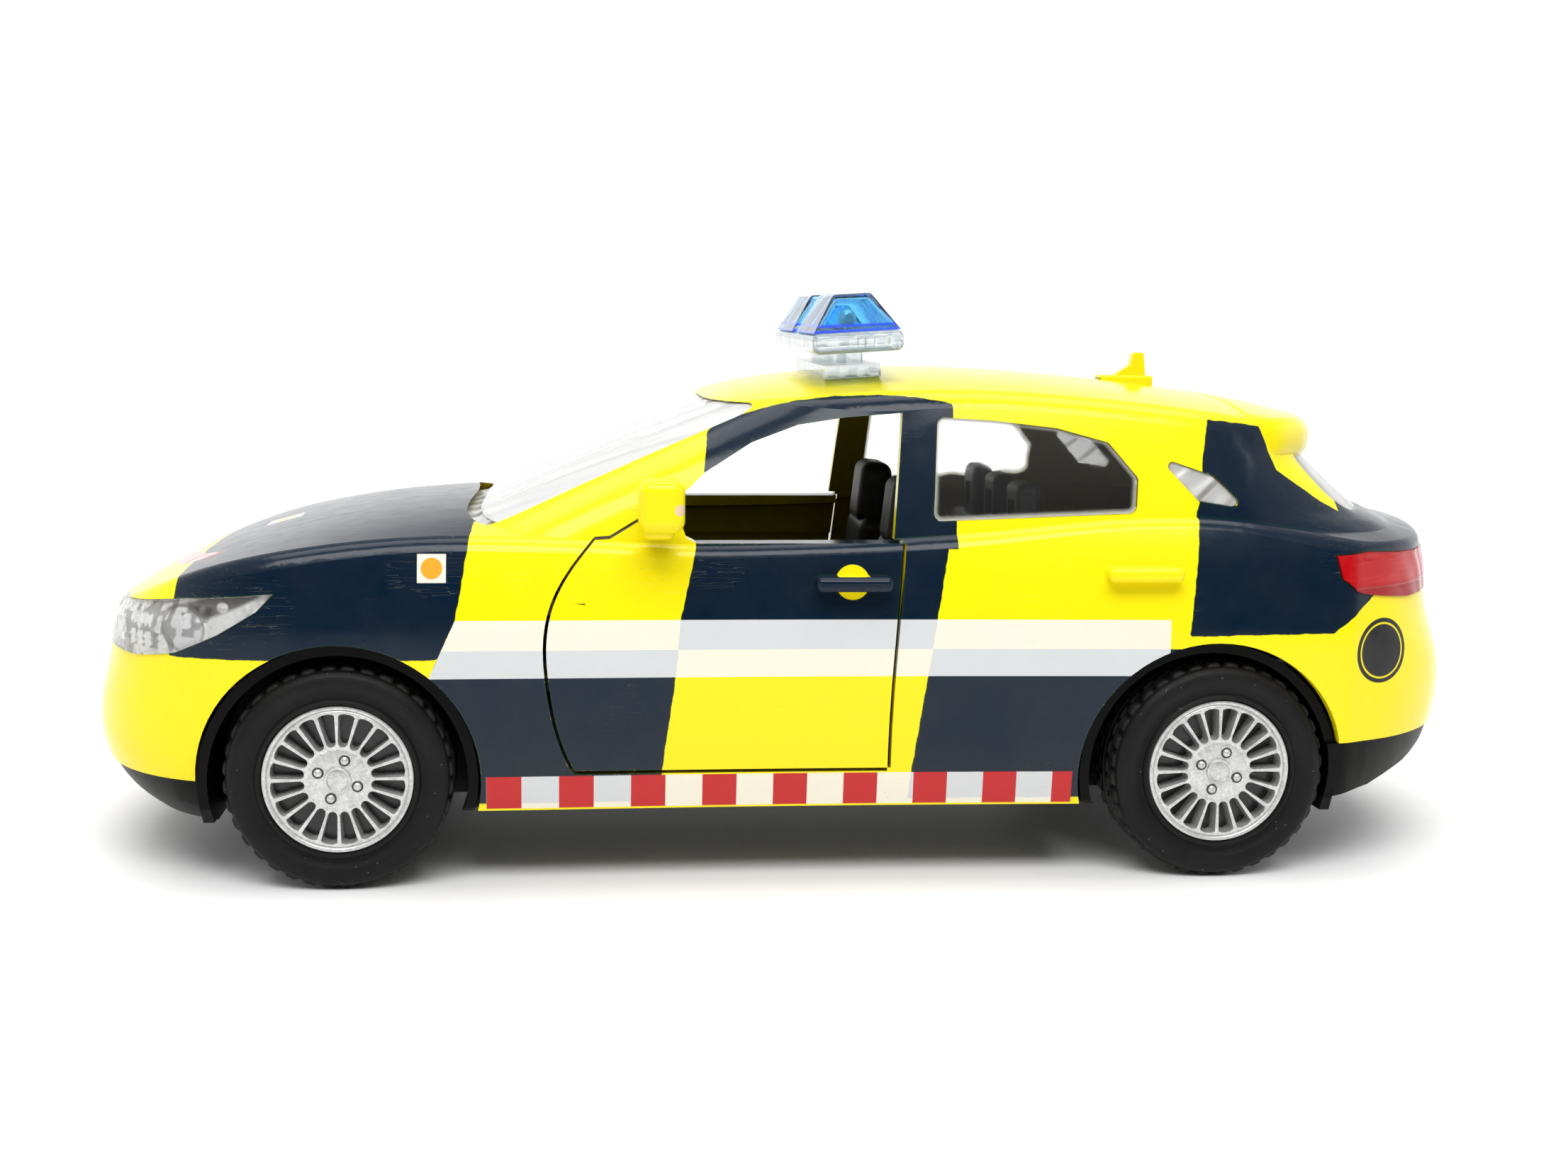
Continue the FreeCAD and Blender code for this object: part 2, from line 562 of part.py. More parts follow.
base = block((BAR_X - 4.8, BAR_X + 4.8), (-HALF, HALF), (54.0, 56.2), 0.8)
foot = block((BAR_X - 3.0, BAR_X + 3.0), (-13.5, 13.5), (51.2, 52.6))
legs = [block((BAR_X - 1.4, BAR_X + 1.4), (y - 1.5, y + 1.5), (52.0, 54.4)) for y in (-10, 10)]
beacon = base.fuse(foot)
for leg in legs:
    beacon = beacon.fuse(leg)
add("beacon_base", tilted(beacon).cut(outer))
for name, side in (("left", 1), ("right", -1)):
    add("beacon_dome_" + name, tilted(dome(side)))
fin = flat_prism([(-36.2, 50.6), (-39.3, 52.6), (-39.6, 54.0), (-40.8, 54.0), (-41.2, 50.0)], -0.6, 0.6, 0.3)
pad = block((-41.8, -35.6), (-1.3, 1.3), (49.8, 51.4), 0.3)
add("aerial", fin.fuse(pad).cut(outer))

doc.recompute()
os.makedirs("parts", exist_ok=True)
for item in doc.Objects:
    if "Invalid" in item.State or "Error" in item.State:
        raise RuntimeError("failed object: " + item.Name)
for name, piece in PIECES.items():
    if piece.Shape.isNull() or not piece.Shape.isValid():
        raise RuntimeError("bad shape: " + name)
    print(name, len(piece.Shape.Solids), round(piece.Shape.Volume, 1))
    piece.Shape.exportStep("parts/" + name + ".step")
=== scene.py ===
import math

import bmesh
import bpy
from mathutils import Matrix, Vector
from mathutils.bvhtree import BVHTree


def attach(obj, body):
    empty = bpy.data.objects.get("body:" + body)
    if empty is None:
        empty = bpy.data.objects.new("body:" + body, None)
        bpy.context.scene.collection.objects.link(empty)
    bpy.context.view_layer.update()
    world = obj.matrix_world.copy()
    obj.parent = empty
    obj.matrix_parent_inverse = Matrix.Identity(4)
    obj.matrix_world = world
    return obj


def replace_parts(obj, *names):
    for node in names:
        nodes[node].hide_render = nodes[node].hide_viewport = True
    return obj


# Die-cast toy patrol car on a white table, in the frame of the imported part. Lengths are in
# millimetres down to where a mesh is made; the stage, lights and camera are in metres.

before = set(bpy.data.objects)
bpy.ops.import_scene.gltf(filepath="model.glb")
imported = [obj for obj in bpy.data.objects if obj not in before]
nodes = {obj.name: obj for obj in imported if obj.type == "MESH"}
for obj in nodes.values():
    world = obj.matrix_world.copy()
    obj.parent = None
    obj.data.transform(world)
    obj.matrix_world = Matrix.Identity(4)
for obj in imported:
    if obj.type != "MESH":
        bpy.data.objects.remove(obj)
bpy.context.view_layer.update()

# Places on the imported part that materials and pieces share.
AXLES = (("front", 47.8), ("rear", -42.4))
AXLE_Z = 11.4
WHEELBASE_MIDDLE = 2.7
HALF_WHEELBASE = 45.1
TYRE_FACE_Y = 29.2
TYRE_WIDTH = 9.0
SIDES = (("left", 1), ("right", -1))
HANDLE_X, HANDLE_Z = -3.5, 31.2


class Net:
    """One material and short ways to add nodes to it."""

    def __init__(self, name, **sockets):
        self.material = bpy.data.materials.new(name)
        self.material.use_nodes = True
        self.tree = self.material.node_tree
        self.shader = self.tree.nodes["Principled BSDF"]
        self.cache = {}
        for key, value in sockets.items():
            self.shader.inputs[key.replace("_", " ")].default_value = value

    def add(self, kind, **settings):
        item = self.tree.nodes.new("ShaderNode" + kind)
        for key, value in settings.items():
            setattr(item, key, value)
        return item

    def feed(self, socket, value):
        if isinstance(value, bpy.types.NodeSocket):
            self.tree.links.new(value, socket)
        else:
            socket.default_value = value

    def math(self, operation, a, b=0.0, c=0.0, clamp=False):
        item = self.add("Math", operation=operation, use_clamp=clamp)
        for socket, value in zip(item.inputs, (a, b, c)):
            self.feed(socket, value)
        return item.outputs[0]

    def plus(self, a, b):
        return self.math("ADD", a, b)

    def less(self, a, b):
        return self.math("SUBTRACT", a, b)

    def times(self, a, b):
        return self.math("MULTIPLY", a, b)

    def size(self, a):
        return self.math("ABSOLUTE", a)

    def both(self, *parts):
        result = parts[0]
        for part in parts[1:]:
            result = self.math("MULTIPLY", result, part)
        return result

    def either(self, *parts):
        result = parts[0]
        for part in parts[1:]:
            result = self.math("MAXIMUM", result, part)
        return result

    def inverse(self, a):
        return self.math("SUBTRACT", 1.0, a)

    def step(self, value, soft=0.08):
        """1 where value is above zero, with an edge that is soft over some millimetres."""
        return self.math("MULTIPLY_ADD", value, 1.0 / soft, 0.5, clamp=True)

    def above(self, value, limit, soft=0.08):
        return self.step(self.less(value, limit), soft)

    def below(self, value, limit, soft=0.08):
        return self.step(self.less(limit, value), soft)

    def between(self, value, low, high, soft=0.08):
        return self.both(self.above(value, low, soft), self.below(value, high, soft))

    def mix(self, share, a, b):
        item = self.add("Mix", data_type="RGBA")
        self.feed(item.inputs[0], share)
        self.feed(item.inputs[6], a)
        self.feed(item.inputs[7], b)
        return item.outputs[2]

    def place(self):
        """Object coordinates in millimetres: x, y, z sockets."""
        if "place" not in self.cache:
            source = self.add("TexCoord")
            scale = self.add("VectorMath", operation="SCALE")
            scale.inputs["Scale"].default_value = 1000.0
            self.tree.links.new(source.outputs["Object"], scale.inputs[0])
            parts = self.add("SeparateXYZ")
            self.tree.links.new(scale.outputs[0], parts.inputs[0])
            self.cache["vector"] = scale.outputs[0]
            self.cache["normal"] = source.outputs["Normal"]
            self.cache["place"] = tuple(parts.outputs)
        return self.cache["place"]

    def noise(self, scale, detail=3.0, roughness=0.5, stretch=None, turn=None):
        self.place()
        item = self.add("TexNoise")
        vector = self.cache["vector"]
        if stretch:
            mapping = self.add("Mapping")
            mapping.inputs["Scale"].default_value = stretch
            if turn:
                mapping.inputs["Rotation"].default_value = turn
            self.tree.links.new(vector, mapping.inputs[0])
            vector = mapping.outputs[0]
        self.tree.links.new(vector, item.inputs["Vector"])
        item.inputs["Scale"].default_value = scale
        item.inputs["Detail"].default_value = detail
        item.inputs["Roughness"].default_value = roughness
        return item.outputs[0]

    def spots(self, scale, radius):
        """Round flecks on a cell pattern."""
        self.place()
        item = self.add("TexVoronoi")
        self.tree.links.new(self.cache["vector"], item.inputs["Vector"])
        item.inputs["Scale"].default_value = scale
        return self.below(item.outputs["Distance"], radius, 0.08)

    def reach(self, a, a0, b, b0):
        """Distance from a point in a plane."""
        da, db = self.less(a, a0), self.less(b, b0)
        return self.math("SQRT", self.plus(self.times(da, da), self.times(db, db)))

    def from_axle(self):
        """Distance from the nearer wheel axle."""
        x, y, z = self.place()
        across = self.less(self.size(self.less(x, WHEELBASE_MIDDLE)), HALF_WHEELBASE)
        return self.reach(across, 0.0, z, AXLE_Z)

    def curve(self, value, pairs, smooth=False):
        """Follows given (place, height) pairs."""
        item = self.add("FloatCurve")
        low, high = pairs[0][0], pairs[-1][0]
        heights = [height for place, height in pairs]
        floor = min(heights)
        extent = (max(heights) - floor) or 1.0
        track = item.mapping.curves[0]
        for k, (place, height) in enumerate(pairs):
            x, y = (place - low) / (high - low), (height - floor) / extent
            if 0 < k < len(pairs) - 1:
                point = track.points.new(x, y)
            else:
                point = track.points[0 if k == 0 else len(track.points) - 1]
                point.location = (x, y)
            point.handle_type = "AUTO" if smooth else "VECTOR"
        item.mapping.update()
        share = self.math("MULTIPLY_ADD", value, 1.0 / (high - low), -low / (high - low),
                          clamp=True)
        self.feed(item.inputs["Value"], share)
        return self.math("MULTIPLY_ADD", item.outputs[0], extent, floor)

    def edge(self, radius):
        """1 along the edges of the shape; the radius is in metres."""
        bevel = self.add("Bevel", samples=4)
        bevel.inputs["Radius"].default_value = radius
        dot = self.add("VectorMath", operation="DOT_PRODUCT")
        geometry = self.add("NewGeometry")
        self.tree.links.new(bevel.outputs[0], dot.inputs[0])
        self.tree.links.new(geometry.outputs["Normal"], dot.inputs[1])
        return self.math("MULTIPLY", self.less(0.985, dot.outputs["Value"]), 14.0, clamp=True)

    def bump(self, height, strength, distance):
        item = self.add("Bump")
        item.inputs["Strength"].default_value = strength
        item.inputs["Distance"].default_value = distance
        self.feed(item.inputs["Height"], height)
        return item.outputs[0]

    def set(self, name, value):
        self.feed(self.shader.inputs[name], value)

    def spread(self, value, low, high):
        """Maps a 0..1 value to a range."""
        return self.math("MULTIPLY_ADD", value, high - low, low)


YELLOW = (0.88, 0.74, 0.003, 1)
# Darker copy of the yellow for the shell's inside: painted shade.
SHADED_INNER_YELLOW = (0.34, 0.28, 0.004, 1)
NAVY = (0.0002, 0.0090, 0.0245, 1)
GREEN = (0.002, 0.036, 0.016, 1)
WHITE = (0.80, 0.76, 0.66, 1)
VEILED = (0.62, 0.64, 0.65, 1)
RED = (0.50, 0.012, 0.018, 1)
INK = (0.012, 0.012, 0.013, 1)
AMBER = (0.80, 0.36, 0.03, 1)
CHIP = (0.45, 0.42, 0.02, 1)
STUB = (0.72, 0.52, 0.45, 1)
SCRATCH = (0.22, 0.20, 0.10, 1)
GRIME = (0.20, 0.16, 0.08, 1)

# Print softness in millimetres: hand-masked checks, and crisp printed marks.
MASKED = 0.42
CRISP = 0.06

# The masked edges between the checks: (height, place along the car).
EDGE_A = ((20.0, 39.5), (21.6, 38.8), (27.6, 36.1), (35.3, 34.8), (40.0, 34.0))
EDGE_B = ((8.0, 16.1), (12.0, 15.6), (21.7, 14.3), (27.3, 13.9), (34.5, 12.3), (40.0, 12.0))
EDGE_C = ((8.0, -9.6), (11.8, -10.0), (21.6, -11.3), (27.6, -12.2), (36.5, -13.7),
          (48.0, -13.9))
EDGE_D = ((20.0, -37.7), (25.8, -38.3), (38.2, -39.7), (40.0, -40.2), (44.0, -40.6),
          (48.0, -41.4))
WING_FRONT = ((22.0, 64.4), (23.0, 64.3), (30.9, 63.6), (34.0, 63.2))
PILLAR = ((30.0, -64.0), (34.2, -62.6), (36.1, -60.7), (39.0, -54.6), (42.3, -49.4),
          (46.7, -47.6), (48.0, -47.4))
BAND_FRONT = ((21.0, 39.1), (21.6, 38.8), (27.6, 36.1), (28.0, 35.9))

# Edges that run along the car: (place along the car, height).
FRAME_TOP = ((-16.0, 48.2), (-14.2, 49.0), (-11.3, 49.5), (-5.6, 49.7), (0.0, 49.3),
             (6.4, 47.9), (11.2, 45.8), (15.2, 43.0), (21.5, 39.0))
QUARTER_FOOT = ((-60.5, 31.2), (-59.8, 30.6), (-53.6, 26.1), (-38.3, 25.8), (-30.0, 25.8))
QUARTER_TOP = ((-50.0, 46.6), (-41.0, 47.7))

# Half-widths: of the tail's ledge against height, and the bonnet strip's front against side.
LEDGE_WIDTH = ((33.0, 30.0), (35.4, 28.0), (36.4, 22.0), (39.0, 19.0))
STRIP_FRONT = ((0.0, 67.6), (8.0, 66.8), (14.0, 64.8), (18.0, 62.0))

BAND_LOW, BAND_HIGH = 21.7, 27.5
SILL_PITCH, SILL_RED, SILL_FRONT = 7.24, 3.5, 33.2
TILE = 1.8


def check_share(net, side):
    """Where the dark checks are masked: 1 inside, falling to 0 over a soft, ragged edge."""
    x, y, z = net.place()
    ragged = net.times(net.less(net.noise(0.8, 4.0), 0.5), 0.3)
    xr, zr = net.plus(x, ragged), net.plus(z, ragged)

    def over(value, limit):
        return net.above(value, limit, MASKED)

    def under(value, limit):
        return net.below(value, limit, MASKED)

    edge_a, edge_b, edge_c, edge_d, wing_front, pillar = (
        net.curve(z, pairs) for pairs in (EDGE_A, EDGE_B, EDGE_C, EDGE_D, WING_FRONT, PILLAR))

    # Upper row.
    bonnet_top = net.both(under(side, 21.8), over(x, 24.0))
    bonnet = net.both(under(xr, wing_front), over(zr, 23.6),
                      net.either(over(xr, edge_a), bonnet_top))
    middle = net.both(under(xr, edge_b), over(xr, edge_c), net.above(z, 24.5), under(z, 36.6))
    frame_front = under(net.plus(xr, net.times(z, 0.12)), 16.4)
    window_frame = net.both(under(zr, net.curve(x, FRAME_TOP, smooth=True)),
                            net.above(z, 34.5), frame_front, over(xr, -14.4),
                            net.above(side, 18.0))
    quarter = net.both(under(xr, edge_d), over(zr, net.curve(x, QUARTER_FOOT)),
                       over(xr, pillar), under(zr, net.curve(x, QUARTER_TOP)),
                       net.above(side, 15.0))
    ledge = net.both(net.below(x, -56.0), over(z, 33.2), under(z, 39.4),
                     under(side, net.curve(z, LEDGE_WIDTH)))

    # Lower row.
    low = net.both(net.below(z, 24.5), net.above(side, 15.0))
    lower_front = net.both(under(xr, edge_a), over(xr, edge_b), low)
    lower_rear = net.both(under(xr, edge_c), over(xr, -40.0), low)
    return net.either(bonnet, middle, window_frame, quarter, ledge, lower_front, lower_rear)


def paint_material():
    """Glossy enamel with the checks, the pale band and the sill blocks printed on it."""
    net = Net("Body enamel", Specular_IOR_Level=0.25)
    x, y, z = net.place()
    side = net.size(y)

    # Which way the surface faces, so that only the outside is printed and the shell's inside
    # gets a darker yellow, a painted shade.
    parts = net.add("SeparateXYZ")
    net.tree.links.new(net.cache["normal"], parts.inputs[0])
    nx, ny, nz = parts.outputs
    outward = net.plus(net.plus(net.times(nx, net.times(x, 0.3)), net.times(ny, y)),
                       net.times(nz, net.less(z, 22.0)))
    flank = net.both(net.above(side, 28.3), net.below(z, 33.0))
    outside = net.either(net.math("GREATER_THAN", outward, 4.0), flank)
    inside = net.both(net.math("LESS_THAN", outward, -7.0), net.inverse(flank),
                      net.below(side, 30.0))

    share = check_share(net, side)
    grip_cup = net.both(net.below(net.reach(x, HANDLE_X, z, HANDLE_Z), 1.75),
                        net.below(side, HANDLE_Y))
    navy = net.both(net.above(share, 0.5, 0.16), outside, net.inverse(grip_cup),
                    net.above(z, 8.7, 0.2))

    # Thin spots at print edges and sharp edges, where the yellow ground shows as green.
    rim = net.times(net.below(share, 0.72, 0.3), net.above(net.noise(0.5, 3.0), 0.45, 0.1))
    thin = net.either(net.times(net.edge(0.0003), 0.8), net.times(rim, 0.9))
    navy_color = net.mix(thin, NAVY, GREEN)
    chips = net.both(net.edge(0.00018), net.above(net.noise(0.9, 5.0, 0.7), 0.63, 0.04))
    navy_color = net.mix(net.times(chips, 0.7), navy_color, CHIP)
    # The inner faces take the darker yellow as painted shade.
    color = net.mix(navy, net.mix(inside, YELLOW, SHADED_INNER_YELLOW), navy_color)

    # Pale band over both colours, and the sill's red and white blocks.
    band = net.both(net.between(z, BAND_LOW, BAND_HIGH, 0.05),
                    net.below(x, net.curve(z, BAND_FRONT), 0.05), net.above(x, -36.3, 0.05),
                    net.above(side, 20.0), outside)
    veil = net.mix(net.spread(net.noise(0.25, 4.0), 0.92, 0.99), color,
                   net.mix(navy, WHITE, VEILED))
    color = net.mix(band, color, veil)
    sill = net.both(net.above(z, 8.15, 0.1), net.below(z, 11.5, CRISP),
                    net.below(x, SILL_FRONT, CRISP), net.above(x, -26.8, CRISP),
                    net.above(side, 24.0), outside)
    along = net.math("MODULO", net.plus(net.math("MULTIPLY", x, -1.0),
                                        SILL_FRONT + 10 * SILL_PITCH), SILL_PITCH)
    red = net.both(net.below(along, SILL_RED, CRISP), net.above(along, 0.0, CRISP))
    color = net.mix(sill, color, net.mix(red, veil, RED))

    # Chequered strip across the front edge of the bonnet.
    front = net.curve(side, STRIP_FRONT, smooth=True)
    strip = net.both(net.below(x, front, CRISP), net.above(x, net.less(front, 2.6), CRISP),
                     net.below(side, 17.6, CRISP), net.above(nz, 0.3, 0.1))
    tile = net.math("MODULO", net.plus(y, 21 * TILE), 2 * TILE)
    color = net.mix(strip, color, net.mix(net.below(tile, TILE, CRISP), WHITE, RED))

    # Plain generic marks: a dark roundel behind the wheel, pale squares on wing and bonnet.
    reach = net.reach(x, -59.8, z, 23.9)
    roundel = net.both(net.below(reach, 3.4, 0.05), net.above(side, 15.0), outside)
    color = net.mix(roundel, color, INK)
    ring = net.both(net.between(reach, 2.75, 2.95, 0.05), net.above(side, 15.0), outside)
    color = net.mix(net.times(ring, 0.9), color, YELLOW)
    square = net.both(net.between(x, 37.0, 39.8, CRISP), net.between(z, 31.2, 34.0, CRISP),
                      net.above(side, 20.0), outside)
    color = net.mix(square, color, WHITE)
    disc = net.both(net.below(net.reach(x, 38.4, z, 32.6), 1.05, CRISP),
                    net.above(side, 20.0), outside)
    color = net.mix(disc, color, AMBER)
    patch = net.both(net.between(x, 54.4, 58.2, CRISP), net.below(side, 2.1, CRISP),
                     net.above(nz, 0.5, 0.1))
    color = net.mix(patch, color, WHITE)
    core = net.both(net.below(net.reach(x, 56.3, y, 0.0), 1.3, CRISP), net.above(nz, 0.5, 0.1))
    color = net.mix(core, color, AMBER)

    # Moulding stub on the mirror, hair scratches, grime, and the colour a little darker towards
    # the bottom.
    stub = net.both(net.below(net.reach(x, 14.2, z, 38.9), 0.55, 0.12),
                    net.above(side, 30.5, 0.1))
    color = net.mix(net.times(stub, 0.8), color, STUB)
    scratch = net.noise(0.55, 2.0, 0.5, stretch=(0.25, 1.0, 4.0), turn=(0.0, 0.5, 0.0))
    marks = net.both(net.between(scratch, 0.499, 0.503, 0.002),
                     net.above(net.noise(0.09, 2.0), 0.60, 0.05))
    color = net.mix(net.times(marks, 0.35), color, SCRATCH)
    grime = net.above(net.noise(0.12, 6.0, 0.65), 0.55, 0.5)
    low = net.below(z, 13.0, 6.0)
    color = net.mix(net.times(net.plus(grime, low), 0.045), color, GRIME)
    net.set("Base Color", color)
    net.set("Roughness", net.spread(net.noise(0.5, 4.0), 0.10, 0.26))
    peel = net.plus(net.times(net.noise(1.4, 2.0), 0.35), net.times(net.spots(0.35, 0.09), 0.5))
    waves = net.plus(net.times(marks, -0.6), net.times(net.noise(0.11, 2.0), 1.2))
    net.set("Normal", net.bump(net.plus(peel, waves), 0.28, 0.00006))
    return net.material


def clear_material(name, color, rough, ripple, rim, width, solid, bend):
    """Clear moulded plastic with flow ripples, scuffs and a rim of a width in metres, whose
    colour is painted edge light.
    """
    net = Net(name, IOR=bend, Transmission_Weight=1.0)
    scuff = net.noise(0.35, 6.0, 0.7, stretch=(1.0, 1.0, 5.0))
    tone = net.mix(net.times(net.above(scuff, 0.6, 0.2), 0.06), color, (0.8, 0.8, 0.8, 1))
    # The rim colour laid over the edges is painted edge light, not a tint of the plastic.
    border = net.edge(width)
    net.set("Transmission Weight", net.less(1.0, net.times(border, solid)))
    net.set("Base Color", net.mix(border, tone, rim))
    net.set("Roughness", net.spread(net.above(scuff, 0.55, 0.3), *rough))
    net.set("Normal", net.bump(net.noise(0.14, 2.0), ripple, 0.0004))
    return net.material


def screen_material(name, share, lines, depth, tint=(0.97, 0.97, 0.96, 1)):
    """Cloudy clear moulding with inner ribs in the bump; grey streaks along them are painted
    shade, and the edges get a painted edge light.
    """
    net = Net(name, IOR=1.46, Transmission_Weight=share)
    x, y, z = net.place()
    across = net.plus(net.times(x, lines[0]),
                      net.plus(net.times(y, lines[1]), net.times(z, lines[2])))
    waves = net.math("SINE", net.plus(across, net.times(net.noise(0.12, 3.0), 1.4)))
    streak = net.times(net.above(waves, 0.78, 0.3), net.above(net.noise(0.2, 3.0), 0.45, 0.2))
    # Grey streaks on the ribs: painted shade.
    color = net.mix(net.times(streak, depth), tint, (0.42, 0.42, 0.40, 1))
    # Pale blue-grey along the edges: painted edge light.
    color = net.mix(net.times(net.edge(0.0004), 0.5), color, (0.74, 0.78, 0.77, 1))
    net.set("Base Color", color)
    net.set("Roughness", net.spread(net.noise(0.4, 5.0, 0.6), 0.04, 0.2))
    height = net.plus(net.times(waves, 0.5), net.noise(0.2, 3.0))
    net.set("Normal", net.bump(height, 0.4, 0.0003))
    return net.material


def lamp_glass():
    """Head lamp cover with moulded lens rings and upright flutes."""
    net = Net("Lamp cover", IOR=1.46, Transmission_Weight=1.0)
    x, y, z = net.place()
    rings = net.math("SINE", net.times(net.reach(x, 62.8, z, 26.5), 6.5))
    flutes = net.math("SINE", net.times(net.size(y), 5.5))
    front = net.above(x, 67.0, 1.0)
    height = net.plus(net.times(net.times(rings, net.below(x, 66.5, 1.0)), 0.35),
                      net.times(net.times(flutes, front), 0.12))
    haze = net.above(net.noise(0.7, 4.0), 0.6, 0.2)
    net.set("Base Color", net.mix(haze, (1, 1, 1, 1), (0.9, 0.9, 0.86, 1)))
    net.set("Roughness", net.spread(net.noise(0.5, 4.0), 0.03, 0.16))
    net.set("Normal", net.bump(net.plus(height, net.noise(0.3, 3.0)), 0.3, 0.00012))
    return net.material


# Dark pocket over the projector, a painted shade: (place along the car, height).
POCKET_ROOF = ((54.5, 30.2), (57.0, 29.9), (60.0, 29.4), (64.5, 28.0))
POCKET_FLOOR = ((54.5, 29.9), (57.0, 28.6), (60.0, 27.4), (64.5, 27.2))


def lamp_bowl_material():
    """Reflector painted bright white with darker swirls as painted reflection, a dark pocket and
    slot as painted shade, a projector and a small side bulb.
    """
    net = Net("Lamp reflector", Metallic=0.0)
    x, y, z = net.place()
    swirl = net.noise(0.5, 4.0, 0.6)
    # The silvered reflector is painted white with darker swirls: a painted reflection.
    shade = net.above(net.noise(0.42, 4.0, 0.6, stretch=(1.0, 1.0, 0.6)), 0.54, 0.08)
    bright = net.mix(net.times(shade, 0.32), (1.0, 1.0, 0.98, 1), (0.40, 0.39, 0.36, 1))
    # Dark pocket: painted shade.
    pocket = net.both(net.between(x, 54.8, 64.2, 0.5),
                      net.below(z, net.curve(x, POCKET_ROOF), 0.3),
                      net.above(z, net.curve(x, POCKET_FLOOR), 0.4))
    color = net.mix(net.times(pocket, 0.9), bright, (0.13, 0.12, 0.11, 1))
    disc = net.reach(x, 62.6, z, 26.3)
    color = net.mix(net.below(disc, 2.0, 0.25), color, (0.92, 0.92, 0.93, 1))
    bezel = net.between(disc, 2.0, 2.25, 0.15)
    color = net.mix(net.times(bezel, 0.7), color, (0.30, 0.28, 0.26, 1))
    bulb = net.reach(x, 58.6, z, 28.5)
    color = net.mix(net.below(bulb, 0.55, 0.2), color, (0.95, 0.95, 0.93, 1))
    # Dark slot: painted shade.
    slot = net.both(net.between(x, 68.4, 69.4, 0.3), net.between(z, 24.4, 26.2, 0.3))
    color = net.mix(net.times(slot, 0.7), color, (0.20, 0.19, 0.17, 1))
    net.set("Base Color", color)
    net.set("Roughness", net.spread(swirl, 0.18, 0.4))
    dome = net.math("SUBTRACT", 1.0, net.times(disc, 0.5), clamp=True)
    ball = net.math("SUBTRACT", 1.0, net.times(bulb, 1.6), clamp=True)
    height = net.plus(net.plus(net.times(dome, 1.5), ball), net.times(swirl, 0.4))
    net.set("Normal", net.bump(height, 0.8, 0.0006))
    return net.material


def tail_glass():
    """Red lens with an inner step, upright ribs and a darker lower half."""
    net = Net("Red lens", IOR=1.46, Transmission_Weight=0.3, Specular_IOR_Level=0.35)
    x, y, z = net.place()
    ribs = net.math("SINE", net.times(net.less(y, net.times(x, 0.6)), 4.4))
    lower = net.below(z, 30.6, 0.5)
    streaks = net.noise(0.4, 4.0, 0.6, stretch=(0.5, 0.5, 3.0))
    color = net.mix(lower, (0.60, 0.003, 0.006, 1), (0.42, 0.002, 0.005, 1))
    pale_streaks = net.times(net.above(streaks, 0.58, 0.1), 0.25)
    color = net.mix(pale_streaks, color, (0.80, 0.06, 0.05, 1))
    # Darker red along the lens's edges: painted shade.
    color = net.mix(net.times(net.edge(0.00045), 0.6), color, (0.38, 0.0, 0.008, 1))
    net.set("Base Color", color)
    net.set("Roughness", net.spread(streaks, 0.04, 0.12))
    ledge = net.times(net.below(net.size(net.less(z, 30.7)), 0.16, 0.1), 1.2)
    net.set("Normal", net.bump(net.plus(net.times(ribs, 0.4), ledge), 0.5, 0.00015))
    return net.material


def lighter(color, factor, lift):
    return tuple(min(1.0, c * factor + lift) for c in color[:3]) + (1,)


def moulded_material(name, color, rough, grain=1.8, depth=0.00005, wells=False, **sockets):
    """Moulded plastic or metal with a fine grain, handling marks and dust."""
    net = Net(name, **sockets)
    x, y, z = net.place()
    patches = net.noise(0.15, 6.0, 0.6)
    tone = net.mix(net.above(patches, 0.6, 0.5), color, lighter(color, 1.7, 0.008))
    tone = net.mix(net.times(net.edge(0.0002), 0.35), tone, lighter(color, 2.0, 0.02))
    if wells:
        # The wheel wells stay in deep shade.
        well = net.both(net.below(net.from_axle(), 16.6, 0.6), net.above(z, 8.3, 0.2))
        tone = net.mix(well, tone, (0.0006, 0.0006, 0.0006, 1))
    net.set("Base Color", tone)
    net.set("Roughness", net.spread(net.noise(0.6, 5.0, 0.6), *rough))
    net.set("Normal", net.bump(net.noise(grain, 3.0, 0.6), 0.35, depth))
    return net.material


def rubber_material():
    """Soft black rubber: fine rings on the sidewall, dust specks and scuffed tread."""
    net = Net("Tyre rubber", Specular_IOR_Level=0.16)
    reach = net.from_axle()
    rings = net.math("SINE", net.times(reach, 14.0))
    worn = net.times(net.above(reach, 11.1, 0.3), net.above(net.noise(0.5, 4.0), 0.5, 0.3))
    dusty = net.above(net.noise(0.2, 6.0, 0.6), 0.5, 0.5)
    tone = net.mix(dusty, (0.005, 0.005, 0.0053, 1), (0.010, 0.010, 0.0105, 1))
    tone = net.mix(net.times(worn, 0.5), tone, (0.045, 0.043, 0.040, 1))
    tone = net.mix(net.times(net.spots(0.9, 0.045), 0.6), tone, (0.25, 0.25, 0.25, 1))
    net.set("Base Color", tone)
    net.set("Roughness", net.spread(net.noise(0.5, 5.0, 0.6), 0.38, 0.62))
    height = net.plus(net.times(rings, 0.25), net.noise(2.2, 3.0, 0.6))
    net.set("Normal", net.bump(height, 0.3, 0.00006))
    return net.material


